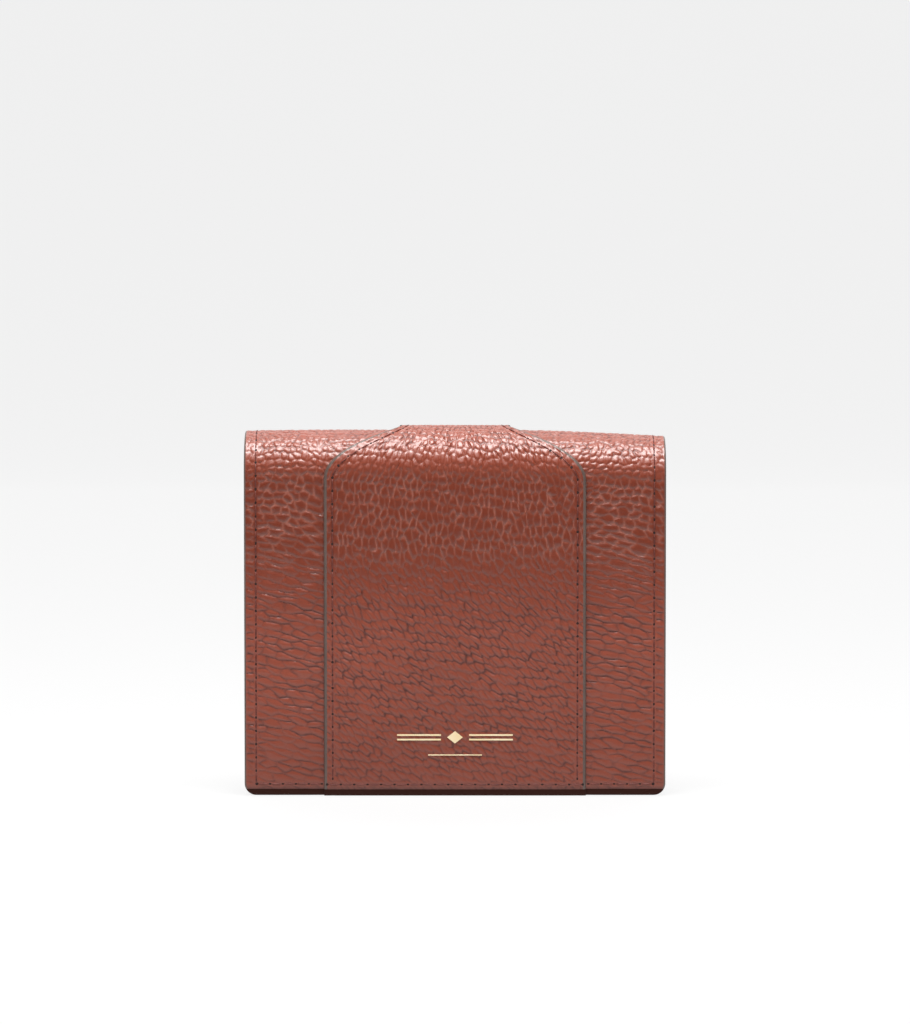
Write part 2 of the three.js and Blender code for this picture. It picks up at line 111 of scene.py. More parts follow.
S_FOLD = FOLD_Z
S_TOP = S_FOLD + QUARTER * ROLL
S_BACK = S_FOLD + math.pi * ROLL
S_CORNER = S_BACK + FOLD_Z - BOTTOM_CORNER
S_FLAT = S_CORNER + QUARTER * BOTTOM_CORNER
FLAT_LENGTH = (ROLL - BOTTOM_CORNER) - (PANEL_Y + BOTTOM_CORNER)
S_FRONT = S_FLAT + FLAT_LENGTH
S_BOTTOM = (S_FLAT + S_FRONT) / 2
S_PANEL = S_FRONT + QUARTER * BOTTOM_CORNER
S_END = S_PANEL + panel_high[2] - BOTTOM_CORNER

OVERLAY_HALF = cover_high[0]
NECK_HALF = tab_high[0]
SHOULDER_S = S_FOLD - 2
TAB_END_S = S_BACK + FOLD_Z - tab_low[2]
TAB_CORNER = 7.0
BACK_SPLIT_S = S_CORNER - 2
CORNER_RADIUS = 3.0
PANEL_CORNER = 4.0

PITCH = 3.2
OVERLAY_STITCH = 2.1
SIDE_STITCH = 2.85
BOTTOM_STITCH = 2.9


def s_on_back(z):
    """The developed coordinate of a height on the back."""
    return S_BACK + FOLD_Z - z


teeth_low = box_mm("zip_teeth_lower")[0]
teeth_high = box_mm("zip_teeth_upper")[1]
ZIP_Z = (teeth_low + teeth_high)[2] / 2
WINDOW_HALF_X = 42.0
WINDOW_HALF_Z = 5.0
WINDOW_STITCH = 2.0
WINDOW = (-WINDOW_HALF_X, WINDOW_HALF_X, s_on_back(ZIP_Z + WINDOW_HALF_Z),
          s_on_back(ZIP_Z - WINDOW_HALF_Z))


# ---------------------------------------------------------------- paths

def shell_path(s):
    """Point (y, z) on the shell's outer face at s, and the outward normal there."""
    s = np.asarray(s, float)
    top = (s - S_FOLD) / ROLL
    back = (s - S_CORNER) / BOTTOM_CORNER
    front = (s - S_FRONT) / BOTTOM_CORNER
    pieces = [s < S_FOLD, s < S_BACK, s < S_CORNER, s < S_FLAT, s < S_FRONT, s < S_PANEL]
    inner_y = ROLL - BOTTOM_CORNER
    front_y = PANEL_Y + BOTTOM_CORNER
    y = np.select(pieces, [
        -ROLL, -ROLL * np.cos(top), ROLL, inner_y + BOTTOM_CORNER * np.cos(back),
        inner_y - (s - S_FLAT), front_y - BOTTOM_CORNER * np.sin(front)], PANEL_Y)
    z = np.select(pieces, [
        s, FOLD_Z + ROLL * np.sin(top), FOLD_Z - (s - S_BACK),
        BOTTOM_CORNER - BOTTOM_CORNER * np.sin(back), 0,
        BOTTOM_CORNER - BOTTOM_CORNER * np.cos(front)], BOTTOM_CORNER + s - S_PANEL)
    ny = np.select(pieces, [-1, -np.cos(top), 1, np.cos(back), 0, -np.sin(front)], -1)
    nz = np.select(pieces, [0, np.sin(top), 0, -np.sin(back), -1, -np.cos(front)], 0)
    return y, z, ny, nz


def upright_path(y_front):
    """A flat upright sheet whose outer face is at y_front and looks towards -Y. s is z."""
    def path(s):
        s = np.asarray(s, float)
        return y_front + 0 * s, s, -1 + 0 * s, 0 * s
    return path


def smooth(t):
    """An even step from 0 to 1."""
    t = np.clip(t, 0, 1)
    return t * t * (3 - 2 * t)


def rounded(half, from_end, radius):
    """Half a width, drawn in as a round corner within radius of a sheet's end."""
    short = np.clip(radius - from_end, 0, radius)
    return half - radius + np.sqrt(radius ** 2 - short ** 2)


FOLD_RISE = 0.6
RIGHT_FALL, RIGHT_FROM = 1.55, 12
LEFT_FALL, LEFT_FROM = 0.25, 30
FACE_FILL = 0.5
FOOT_TUCK, FOOT_HEIGHT = 1.0, 3.2


def soften(x, y, z):
    """The slight give of soft leather: a fold that stands a little high and falls away to
    the right, a face that fills out, and a foot that tucks in."""
    right = np.clip((x - RIGHT_FROM) / (HALF_WIDTH - RIGHT_FROM), 0, 1)
    left = np.clip((-x - LEFT_FROM) / (HALF_WIDTH - LEFT_FROM), 0, 1)
    high = smooth((z - 40) / 44)
    z = z + high * (FOLD_RISE - RIGHT_FALL * right ** 1.5 - LEFT_FALL * left ** 2)
    front = smooth((-y - 2) / 7)
    fill = smooth(z / 45) * smooth((86 - z) / 30)
    y = y - FACE_FILL * front * fill * (1 - (x / HALF_WIDTH) ** 2)
    low = np.clip((FOOT_HEIGHT - z) / FOOT_HEIGHT, 0, 1) ** 1.6
    y = y + FOOT_TUCK * low * smooth((-y - 6.5) / 1.2)
    return x, y, z


# ---------------------------------------------------------------- leather grain, and the shade and highlight painted into its colour

def hashed(i, j, seed):
    """A repeatable random number for each whole-number pair."""
    value = np.sin(i * 127.1 + j * 311.7 + seed * 74.7) * 43758.5453
    return value - np.floor(value)


CELL_MARGIN = 0.18
CELL_SCATTER = 1 - 2 * CELL_MARGIN


def cells(u, v, seed):
    """Scattered cells: distance to the nearest point, gap to the next, offset from the
    nearest, its hash, and how far the border there runs along v, from 0 to 1."""
    base_u, base_v = np.floor(u), np.floor(v)
    first = np.full(u.shape, 9.0)
    second = np.full(u.shape, 9.0)
    near = np.zeros((2, *u.shape))
    next_near = np.zeros((2, *u.shape))
    tag = np.zeros(u.shape)
    for dv in (-1, 0, 1):
        for du in (-2, -1, 0, 1):
            i, j = base_u + du, base_v + dv
            pu = i + CELL_MARGIN + CELL_SCATTER * hashed(i, j, seed) + 0.5 * (j % 2) - u
            pv = j + CELL_MARGIN + CELL_SCATTER * hashed(i, j, seed + 1) - v
            distance = np.hypot(pu, pv)
            nearer = distance < first
            runner_up = (distance < second) & ~nearer
            here = np.stack([pu, pv])
            next_near = np.where(nearer, near, np.where(runner_up, here, next_near))
            second = np.where(nearer, first, np.where(runner_up, distance, second))
            near = np.where(nearer, here, near)
            tag = np.where(nearer, hashed(i, j, seed + 2), tag)
            first = np.where(nearer, distance, first)
    apart = np.abs(next_near - near)
    upright = apart[0] / (apart[0] + apart[1] + 1e-9)
    return first, second - first, -near[0], -near[1], tag, upright


def soft_noise(u, v, seed):
    """Smooth value noise from 0 to 1."""
    iu, iv = np.floor(u), np.floor(v)
    fu, fv = smooth(u - iu), smooth(v - iv)
    low = hashed(iu, iv, seed) * (1 - fu) + hashed(iu + 1, iv, seed) * fu
    high = hashed(iu, iv + 1, seed) * (1 - fu) + hashed(iu + 1, iv + 1, seed) * fu
    return low * (1 - fv) + high * fv


def wander(u, v, seed):
    """How far cell borders stray from straight: a long drift and a short one."""
    return (0.4 * (soft_noise(u * 0.7, v * 0.7, seed) - 0.5)
            + 0.16 * (soft_noise(u * 2.6, v * 2.6, seed + 2) - 0.5))


def pebbles(u, v, seed, overhang=0.3, upward=0.5):
    """Height of pebbled grain, from about -1 in the creases to 0 on the cells, and how deep
    in a crease each point is. overhang makes each cell stand out more at its lower side, and
    upward favours creases that run along v (1) or along u (0)."""
    u = u + wander(u, v, seed + 11)
    v = v + wander(u, v, seed + 12)
    first, gap, off_u, off_v, tag, upright = cells(u, v, seed)
    favoured = 1 - np.abs(upward - smooth(1.6 * upright - 0.3))
    strength = smooth(1.8 * soft_noise(u * 1.1, v * 1.1, seed + 21) - 0.2)
    strength = (0.3 + 0.7 * strength) * (0.25 + 0.95 * favoured)
    dome = 1 - np.exp(-3.4 * gap)
    valley = np.exp(-(gap / 0.17) ** 1.5)
    turn = tag * TAU
    tilt = 0.25 * (off_u * np.cos(turn) + off_v * np.sin(turn)) - overhang * off_v
    height = (dome - 1) * (0.35 + 0.65 * strength) + (tilt - 0.35 * first ** 2) * dome
    height = height + 0.16 * (soft_noise(u * 4.1, v * 4.1, seed + 31) - 0.5)
    return height, np.clip(valley * strength, 0, 1)


def running(s, stops):
    """How many cells lie below s, where stops gives the cell height along s."""
    grid = np.linspace(stops[0][0], stops[-1][0], 600)
    size = np.interp(grid, [p for p, _ in stops], [h for _, h in stops])
    count = np.concatenate([[0], np.cumsum(np.diff(grid) / size[:-1])])
    return np.interp(s, grid, count)


CELL_HEIGHTS = [(-5, 1.9), (20, 2.0), (45, 2.2), (62, 2.7), (74, 2.4), (84, 1.8), (120, 2.1),
                (260, 2.5)]
SIDE_HEIGHTS = [(-5, 1.6), (60, 1.75), (72, 2.0), (84, 1.8), (120, 2.1), (260, 2.5)]


def painted_shade_tone(s):
    """How much painted shade deepens the tone: in a band below the fold, and near the foot."""
    return np.interp(s, [2, 14, 28, 38, 62, 76, 83], [0.5, 0.3, 0, 0, 1, 1, 0])


def crease_shade_to_highlight(s):
    """Turns the creases' painted shade into a painted highlight just below the fold."""
    return np.interp(s, [46, 60, 77, 84], [1, -1, -1, 1])


def overlay_grain(x, s):
    """Upright cells at the top that lean over to the right lower down."""
    below = np.clip(60 - s, 0, None)
    lean = 0.85 * (np.sqrt(below ** 2 + 14 ** 2) - 14)
    wide = np.interp(s, [0, 60, 76, 86], [1.75, 1.6, 1.55, 1.4])
    u = (x - lean) / wide
    v = running(s, CELL_HEIGHTS) + 0.10 * x / 2.2
    overhang = np.interp(s, [45, 66], [0.5, 0.2])
    upward = np.interp(s, [35, 60, 78, 86], [0.45, 0.85, 0.85, 0.5])
    height, crease = pebbles(u, v, 3, overhang, upward)
    crease = crease * crease_shade_to_highlight(s)
    depth = np.interp(s, [0, 7, 18, 45, 75, 90, 130], [0.12, 0.20, 0.32, 0.38, 0.38, 0.38, 0.28])
    return height * depth, crease


def side_grain(x, s):
    """Long level creases on the front's sides, round pebbles over the fold and behind."""
    centre = np.sign(x) * 41
    wide = np.interp(s, [0, 58, 76, 86, 300], [4.3, 3.9, 1.9, 1.5, 2.3])
    u = (x - centre) / wide + 40 * np.sign(x)
    drift = np.interp(s, [0, 60, 80], [0.22, 0.22, 0.0])
    v = running(s, SIDE_HEIGHTS) + drift * (x - centre) / 1.7
    overhang = np.interp(s, [45, 72], [0.5, 0.2])
    upward = np.interp(s, [55, 70], [0.2, 0.5])
    height, crease = pebbles(u, v, 7, overhang, upward)
    crease = crease * crease_shade_to_highlight(s)
    depth = np.interp(s, [0, 7, 18, 60, 90, 300], [0.10, 0.17, 0.27, 0.30, 0.36, 0.26])
    return height * depth, crease


def back_grain(x, s):
    """Plain round pebbles."""
    wide = np.interp(s, [86, 130], [1.75, 2.2])
    height, crease = pebbles(x / wide, running(s, CELL_HEIGHTS), 5)
    depth = np.interp(s, [0, 90, 300], [0.20, 0.33, 0.25])
    return height * depth, crease


def shell_grain(x, s):
    """The front's side grain turns into the back's as it goes over the fold."""
    side_height, side_crease = side_grain(x, s)
    back_height, back_crease = back_grain(x, s)
    mix = smooth((s - S_TOP + 9) / 6)
    return (side_height * (1 - mix) + back_height * mix,
            side_crease * (1 - mix) + back_crease * mix)


def burnished_foot(s):
    """How much painted shade darkens the lower edge, where it turns under."""
    return np.interp(s, [1.2, 2.5], [1.0, 0.0])


def no_grain(x, s):
    """A plain face."""
    return np.zeros(x.shape), np.zeros(x.shape)


# ---------------------------------------------------------------- sheets

def spread(start, end, step, edge_start=False, edge_end=False, marks=()):
    """Grid lines from start to end, closer together at a finished edge, through all marks."""
    fine = [0.0, 0.06, 0.15, 0.27, 0.41, 0.57, 0.75, 0.95]
    stops = sorted([start, end, *marks])
    lines = []
    for low, high in zip(stops[:-1], stops[1:]):
        count = max(1, round((high - low) / step))
        lines.extend(np.linspace(low, high, count + 1)[:-1])
    lines = np.array(lines + [end])
    if edge_start:
        lines = np.concatenate([start + np.array(fine), lines[lines > start + 1.0]])
    if edge_end:
        lines = np.concatenate([lines[lines < end - 1.0], end - np.array(fine)[::-1]])
    return lines


def make_mesh(name, points, faces, materials, face_material=None, attributes=None):
    """A mesh object from points in metres."""
    mesh = bpy.data.meshes.new(name)
    mesh.from_pydata(np.asarray(points).tolist(), [], faces)
    for item in materials:
        mesh.materials.append(item)
    if face_material is not None:
        mesh.polygons.foreach_set("material_index", np.asarray(face_material, np.int32))
    for key, values in (attributes or {}).items():
        layer = mesh.attributes.new(key, "FLOAT", "POINT")
        layer.data.foreach_set("value", np.asarray(values, np.float32))
    mesh.update()
    mesh.shade_smooth()
    mesh.set_sharp_from_angle(angle=math.radians(50))
    piece = bpy.data.objects.new(name, mesh)
    bpy.context.scene.collection.objects.link(piece)
    return piece


@dataclass
class Sheet:
    """A leather layer: a fine face with grain, a plain face behind it, and finished edges.

    path gives the shell's outer face, fine and plain are the faces' offsets from it, rows are
    the grid lines along s and columns those across. half_width(s) shapes the sides. finished
    says which ends of s are finished edges. A roll is how far an edge rolls over, within its
    reach, and paint how wide it is painted. window is (x low, x high, s low, s high) of a
    hole. extra adds height, the foot shade, a function of s, darkens the colour at the start
    with painted shade, and soft lets the layer give. The plain face takes every plain_step-th
    column of the fine one.
    """

    name: str
    path: object
    rows: np.ndarray
    columns: np.ndarray
    half_width: object
    fine: float
    plain: float
    grain: object = no_grain
    finished: tuple = (True, True)
    side_roll: float = 0.45
    end_roll: tuple = (0.45, 0.45)
    end_reach: tuple = (0.6, 0.6)
    window: tuple = None
    grooves: tuple = ()
    plain_step: int = 8
    soft: bool = True
    extra: object = None
    paint: float = 0.42
    side_reach: float = 0.6
    # Painted shade for the foot: how much it darkens the colour at each s.
    burnish: object = None

    @property
    def faces_out(self):
        """Whether the fine face is the outer one."""
        return self.fine > self.plain

    def place_x(self, column, s):
        """Keeps the columns next to an edge at their distance from it as the width changes."""
        band = 3.4
        nominal = self.columns.max()
        half = self.half_width(s)
        near = np.abs(column) > nominal - band
        at_edge = np.sign(column) * (half - (nominal - np.abs(column)))
        scale = (half - band) / (nominal - band)
        return np.where(near, at_edge, column * scale)

    def edge_distance(self, x, s):
        """Distance to the sides, to the start and to the end of the sheet."""
        step = 0.05
        slope = (self.half_width(s + step) - self.half_width(s - step)) / (2 * step)
        side = (self.half_width(s) - np.abs(x)) / np.sqrt(1 + slope ** 2)
        return side, s - self.rows[0], self.rows[-1] - s

    def height(self, x, s):
        """Offset of the fine face, with grain, grooves and rolled edges, and the crease."""
        side, start, end = self.edge_distance(x, s)
        nearest = side.copy()
        if self.finished[0]:
            nearest = np.minimum(nearest, start)
        if self.finished[1]:
            nearest = np.minimum(nearest, end)
        if self.window:
            x_out = np.abs(x) - self.window[1]
            s_out = np.maximum(self.window[2] - s, s - self.window[3])
            around = np.where((x_out > 0) & (s_out > 0), np.hypot(x_out, s_out),
                              np.maximum(x_out, s_out))
            nearest = np.minimum(nearest, np.maximum(around, 0))
        relief, crease = self.grain(x, s)
        calm = smooth(nearest / 1.3)
        dip = np.zeros(x.shape)
        for groove in self.grooves:
            away = np.abs(groove(x, s, side, start, end))
            calm = calm * smooth((away - 0.1) / 0.75)
            dip = dip + 0.12 * np.exp(-(away / 0.38) ** 2)
        sign = 1 if self.faces_out else -1

        def roll(distance, depth, reach):
            short = 1 - np.clip(distance / reach, 0, 1)
            return depth * (1 - np.sqrt(1 - short ** 2))

        drop = roll(side, self.side_roll, self.side_reach)
        if self.finished[0]:
            drop = np.maximum(drop, roll(start, self.end_roll[0], self.end_reach[0]))
        if self.finished[1]:
            drop = np.maximum(drop, roll(end, self.end_roll[1], self.end_reach[1]))
        if self.window:
            drop = np.maximum(drop, roll(np.maximum(around, 0), self.side_roll, 0.6))
        extra = self.extra(x, s, side, start, end) if self.extra else 0
        offset = self.fine + sign * (relief * calm - dip - drop + extra)
        crease = crease * calm
        # The foot's painted shade also goes into the crease value, which darkens the colour.
        if self.burnish:
            crease = crease + self.burnish(s) * (1 - crease)
        return offset, crease, nearest

    def point(self, x, s, offset):
        y, z, ny, nz = self.path(s)
        y, z = y + ny * offset, z + nz * offset
        if self.soft:
            x, y, z = soften(x, y, z)
        return np.stack([x, y, z], -1) * MM

    def build(self, materials):
        """Makes the mesh. materials are the leather and its edge paint."""
        rows, columns = self.rows, self.columns
        n_rows, n_columns = len(rows), len(columns)
        s, column = np.meshgrid(rows, columns, indexing="ij")
        x = self.place_x(column, s)
        offset, crease, nearest = self.height(x, s)
        fine_points = self.point(x, s, offset).reshape(-1, 3)

        keep = list(range(0, n_columns, self.plain_step))
        must = [0, n_columns - 1]
        inside = None
        if self.window:
            left, right, low, high = self.window
            edges = [int(np.argmin(np.abs(columns - v))) for v in (left, right)]
            levels = [int(np.argmin(np.abs(rows - v))) for v in (low, high)]
            must += edges
            inside = (edges[0], edges[1], levels[0], levels[1])
        keep = np.array(sorted(set(keep) | set(must)))
        plain_points = self.point(x[:, keep], s[:, keep],
                                  np.full((n_rows, len(keep)), self.plain)).reshape(-1, 3)
        first_plain = n_rows * n_columns
        n_plain = len(keep)

        faces = []
        kinds = []

        def fine_at(i, j):
            return i * n_columns + j

        def plain_at(i, k):
            return first_plain + i * n_plain + k

        def hole(i, j):
            return inside and inside[2] <= i < inside[3] and inside[0] <= j < inside[1]

        paint = nearest < self.paint
        # Faces along the foot take the third material, a dark leather that paints in shade.
        foot = self.burnish(rows) > 0.5 if self.burnish else np.zeros(n_rows, bool)
        for i in range(n_rows - 1):
            for j in range(n_columns - 1):
                if hole(i, j):
                    continue
                faces.append((fine_at(i, j), fine_at(i, j + 1), fine_at(i + 1, j + 1),
                              fine_at(i + 1, j)))
                corner = paint[i, j] and paint[i + 1, j + 1]
                painted = corner and paint[i, j + 1] and paint[i + 1, j]
                kinds.append(2 if foot[i + 1] else 1 if painted else 0)
            for k in range(n_plain - 1):
                if hole(i, keep[k]):
                    continue
                faces.append((plain_at(i, k), plain_at(i + 1, k), plain_at(i + 1, k + 1),
                              plain_at(i, k + 1)))
                kinds.append(0)

        def side_wall(i, j, k, facing_left):
            quad = (fine_at(i, j), fine_at(i + 1, j), plain_at(i + 1, k), plain_at(i, k))
            faces.append(quad if facing_left else quad[::-1])
            kinds.append(1)

        def end_wall(i, k, facing_start):
            strip = [plain_at(i, k), plain_at(i, k + 1)]
            strip += [fine_at(i, j) for j in range(keep[k + 1], keep[k] - 1, -1)]
            faces.append(tuple(strip if facing_start else strip[::-1]))
            kinds.append(1)

        for i in range(n_rows - 1):
            side_wall(i, 0, 0, True)
            side_wall(i, n_columns - 1, n_plain - 1, False)
        for k in range(n_plain - 1):
            end_wall(0, k, True)
            end_wall(n_rows - 1, k, False)
        if inside:
            k_left = int(np.where(keep == inside[0])[0][0])
            k_right = int(np.where(keep == inside[1])[0][0])
            for i in range(inside[2], inside[3]):
                side_wall(i, inside[0], k_left, False)
                side_wall(i, inside[1], k_right, True)
            for k in range(k_left, k_right):
                end_wall(inside[2], k, False)
                end_wall(inside[3], k, True)
        if not self.faces_out:
            faces = [face[::-1] for face in faces]
        points = np.concatenate([fine_points, plain_points])
        creases = np.concatenate([crease.ravel(), np.zeros(len(plain_points))])
        used = np.zeros(len(points), bool)
        for face in faces:
            used[list(face)] = True
        renumber = np.cumsum(used) - 1
        faces = [tuple(int(renumber[v]) for v in face) for face in faces]
        # Painted shade: the tone is deepened below the fold and near the foot.
        shade_tones = np.concatenate([painted_shade_tone(s).ravel(), np.zeros(len(plain_points))])
        return make_mesh(self.name, points[used], faces, materials, kinds,
                         {"crease": creases[used], "painted_shade_tone": shade_tones[used] * self.faces_out})


# ---------------------------------------------------------------- widths

def flap_half(s):
    """Half the flap's width: full, with rounded lower corners."""
    return rounded(HALF_WIDTH, s, CORNER_RADIUS)


def overlay_half(s):
    """Half the overlay's width: straight, closing over rounded shoulders to the neck."""
    t = np.clip((s - SHOULDER_S) / (S_TOP - SHOULDER_S), 0, 1)
    half = NECK_HALF + (OVERLAY_HALF - NECK_HALF) * np.cos(QUARTER * t ** 1.2) ** 2
    return rounded(half, TAB_END_S - s, TAB_CORNER)


def lower_half(s):
    """Half the width of the back and bottom, which narrows slightly under the wallet."""
    return HALF_WIDTH - (HALF_WIDTH - PANEL_HALF) * smooth((s - S_CORNER + 6) / 8)


def panel_half(s):
    """Half the third panel's width, with rounded upper corners."""
    return rounded(PANEL_HALF, S_END - s, PANEL_CORNER)


def constant_half(half):
    """The same half width everywhere."""
    def width(s):
        return half + 0 * np.asarray(s, float)
    return width


# ---------------------------------------------------------------- materials

def node_material(name):
    """A new material, its node tree and its shader."""
    material = bpy.data.materials.new(name)
    material.use_nodes = True
    tree = material.node_tree
    return material, tree, tree.nodes["Principled BSDF"]


def add_node(tree, kind, values=None, **settings):
    """A new node with settings, and values for its inputs by name or number."""
    node = tree.nodes.new(kind)
    for key, value in settings.items():
        setattr(node, key, value)
    set_values(node, values or {})
    return node


def set_values(node, values):
    for key, value in values.items():
        node.inputs[key].default_value = value


def link(tree, a, a_socket, b, b_socket):
    tree.links.new(a.outputs[a_socket], b.inputs[b_socket])


def noise_node(tree, coordinates, scale, detail, **values):
    """Noise in object space."""
    noise = add_node(tree, "ShaderNodeTexNoise", {"Scale": scale, "Detail": detail, **values})
    link(tree, coordinates, "Object", noise, "Vector")
    return noise


def ramp_node(tree, source, socket, stops):
    """Turns a value into colours or greys. stops are (position, colour)."""
    node = tree.nodes.new("ShaderNodeValToRGB")
    elements = node.color_ramp.elements
    while len(elements) < len(stops):
        elements.new(0.5)
    for element, (position, colour) in zip(elements, stops):
        element.position = position
        element.color = (*colour, 1) if len(colour) == 3 else (colour[0],) * 3 + (1,)
    link(tree, source, socket, node, "Fac")
    return node


def range_node(tree, source, socket, low, high):
    """Maps a value from 0 to 1 onto low to high."""
    node = add_node(tree, "ShaderNodeMapRange", {"To Min": low, "To Max": high})
    link(tree, source, socket, node, "Value")
    return node


def bump_node(tree, source, socket, strength, distance, shader):
    """Turns a height into the shader's normal."""
    node = add_node(tree, "ShaderNodeBump", {"Strength": strength, "Distance": distance})
    link(tree, source, socket, node, "Height")
    link(tree, node, "Normal", shader, "Normal")


def mix_colours(tree, factor, first, second):
    """Mixes from a socket's colour to a fixed colour. factor and first are (node, socket)."""
    node = add_node(tree, "ShaderNodeMix", data_type="RGBA")
    link(tree, *factor, node, "Factor")
    link(tree, *first, node, 6)
    node.inputs[7].default_value = (*second, 1)
    return node


def wrinkle_height(tree, coordinates, pore):
    """Fine wrinkles with warped borders, and pores between them."""
    wrinkle = add_node(tree, "ShaderNodeTexVoronoi", {"Scale": pore}, feature="DISTANCE_TO_EDGE")
    warp = noise_node(tree, coordinates, pore * 0.5, 2)
    shift = add_node(tree, "ShaderNodeMix", {"Factor": 0.0012}, data_type="VECTOR")
    link(tree, coordinates, "Object", shift, 4)
    link(tree, warp, "Color", shift, 5)
    link(tree, shift, 1, wrinkle, "Vector")
    wrinkle_ramp = ramp_node(tree, wrinkle, "Distance", [(0.0, (0.0,)), (0.14, (1.0,))])
    pores = noise_node(tree, coordinates, pore * 4, 3)
    height = add_node(tree, "ShaderNodeMath", {1: 0.55}, operation="MULTIPLY_ADD")
    link(tree, pores, "Fac", height, 0)
    link(tree, wrinkle_ramp, "Color", height, 2)
    return height


def leather_material(name, base, deep, light, pale=(0.34, 0.112, 0.076),
                     rich=(0.172, 0.025, 0.007), rough=(0.44, 0.62), fine=0.10, pore=900,
                     coat=0.0, specular=0.5):
    """Leather: blotches of tone from base to light, creases darkened towards deep with painted
    shade, creases with a negative value lightened towards pale with a painted highlight, the
    tone deepened towards rich with painted shade where the shade tone attribute is high, and
    pores and fine wrinkles as bump."""
    material, tree, shader = node_material(name)
    coordinates = add_node(tree, "ShaderNodeTexCoord")
    tone = noise_node(tree, coordinates, 42, 5, Roughness=0.6)
    tone_ramp = ramp_node(tree, tone, "Fac", [(0.3, base), (0.72, light)])
    # Painted shade and highlight: the crease value darkens the colour towards deep, and lightens
    # it towards pale where it is negative.
    crease = add_node(tree, "ShaderNodeAttribute", attribute_name="crease")
    crease_ramp = ramp_node(tree, crease, "Fac", [(0.05, (0.0,)), (0.8, (1.0,))])
    crease_highlight = add_node(tree, "ShaderNodeMapRange", {"From Max": -0.9})
    link(tree, crease, "Fac", crease_highlight, "Value")
    # Painted shade: this attribute deepens the colour towards rich.
    shade_tone_node = add_node(tree, "ShaderNodeAttribute", attribute_name="painted_shade_tone")
    with_shade_tone = mix_colours(tree, (shade_tone_node, "Fac"), (tone_ramp, "Color"), rich)
    with_crease_highlight = mix_colours(tree, (crease_highlight, "Result"), (with_shade_tone, 2), pale)
    with_crease_shade = mix_colours(tree, (crease_ramp, "Color"), (with_crease_highlight, 2), deep)
    link(tree, with_crease_shade, 2, shader, "Base Color")
    height = wrinkle_height(tree, coordinates, pore)
    bump_node(tree, height, "Value", fine, 0.00012, shader)
    roughness = range_node(tree, crease_ramp, "Color", *rough)
    link(tree, roughness, "Result", shader, "Roughness")
    shader.inputs["Specular IOR Level"].default_value = specular
    if coat:
        set_values(shader, {"Coat Weight": coat, "Coat Roughness": 0.3})
    return material


def plain_material(name, low, high, rough, scale=60, bump=0.05, bump_scale=900, metallic=0.0):
    """A finish with a little drift in tone and a fine surface."""
    material, tree, shader = node_material(name)
    coordinates = add_node(tree, "ShaderNodeTexCoord")
    tone = noise_node(tree, coordinates, scale, 4)
    link(tree, ramp_node(tree, tone, "Fac", [(0.3, low), (0.7, high)]), "Color",
         shader, "Base Color")
    fine = noise_node(tree, coordinates, bump_scale, 3)
    bump_node(tree, fine, "Fac", bump, 0.0001, shader)
    link(tree, range_node(tree, fine, "Fac", *rough), "Result", shader, "Roughness")
    shader.inputs["Metallic"].default_value = metallic
    return material


def woven_material(name, low, high):
    """Zip cloth: a fine twill in two tones."""
    material, tree, shader = node_material(name)
    coordinates = add_node(tree, "ShaderNodeTexCoord")
    slanted = add_node(tree, "ShaderNodeMapping", {"Rotation": (0, math.radians(38), 0)})
    link(tree, coordinates, "Object", slanted, "Vector")
    warp = add_node(tree, "ShaderNodeTexWave", {"Scale": 700, "Distortion": 0.6},
                    bands_direction="X")
    link(tree, slanted, "Vector", warp, "Vector")
    weft = add_node(tree, "ShaderNodeTexWave", {"Scale": 520, "Distortion": 0.6},
                    bands_direction="Z")
    link(tree, coordinates, "Object", weft, "Vector")
    weave = add_node(tree, "ShaderNodeMath", operation="MULTIPLY")
    link(tree, warp, "Fac", weave, 0)
    link(tree, weft, "Fac", weave, 1)
    link(tree, ramp_node(tree, weave, "Value", [(0.05, low), (0.7, high)]), "Color",
         shader, "Base Color")
    bump_node(tree, weave, "Value", 0.5, 0.0001, shader)
    set_values(shader, {"Roughness": 0.85, "Sheen Weight": 0.25})
    return material


def film_material(name):
    """Clear flexible film: mostly see-through, with a glossy face."""
    material, tree, shader = node_material(name)
    set_values(shader, {"Base Color": (0.05, 0.05, 0.05, 1), "Roughness": 0.08})
    clear = add_node(tree, "ShaderNodeBsdfTransparent")
    mix = add_node(tree, "ShaderNodeMixShader")
    haze = add_node(tree, "ShaderNodeTexNoise", {"Scale": 30, "Detail": 3})
    link(tree, range_node(tree, haze, "Fac", 0.16, 0.26), "Result", mix, "Fac")
    link(tree, clear, 0, mix, 1)
    link(tree, shader, 0, mix, 2)
    link(tree, mix, 0, tree.nodes["Material Output"], "Surface")
    return material


leather = leather_material("pebbled_leather", (0.246, 0.050, 0.025), (0.105, 0.018, 0.009),
                           (0.290, 0.061, 0.032), rough=(0.35, 0.62), coat=0.4)
# Painted shade: a dark leather for the band along the lower edge, turned under towards the
# floor.
foot_shade_leather = leather_material("burnished_leather", (0.060, 0.015, 0.008),
                                (0.035, 0.008, 0.004), (0.075, 0.020, 0.011),
                                rich=(0.050, 0.012, 0.006), rough=(0.6, 0.7), specular=0.12)
smooth_leather = leather_material("lining_leather", (0.135, 0.045, 0.032), (0.07, 0.02, 0.014),
                                  (0.165, 0.055, 0.039), rough=(0.5, 0.6), fine=0.16,
                                  pore=1500)
pocket_leather = leather_material("pocket_leather", (0.185, 0.057, 0.040), (0.085, 0.02, 0.013),
                                  (0.225, 0.070, 0.050), rough=(0.46, 0.6), fine=0.2, pore=1100)
edge_paint = plain_material("edge_paint", (0.105, 0.070, 0.058), (0.15, 0.102, 0.086),
                            (0.32, 0.42), scale=180, bump=0.12, bump_scale=1400)
thread = plain_material("waxed_thread", (0.10, 0.018, 0.012), (0.20, 0.05, 0.036),
                        (0.4, 0.55), scale=900, bump=0.5, bump_scale=5200)
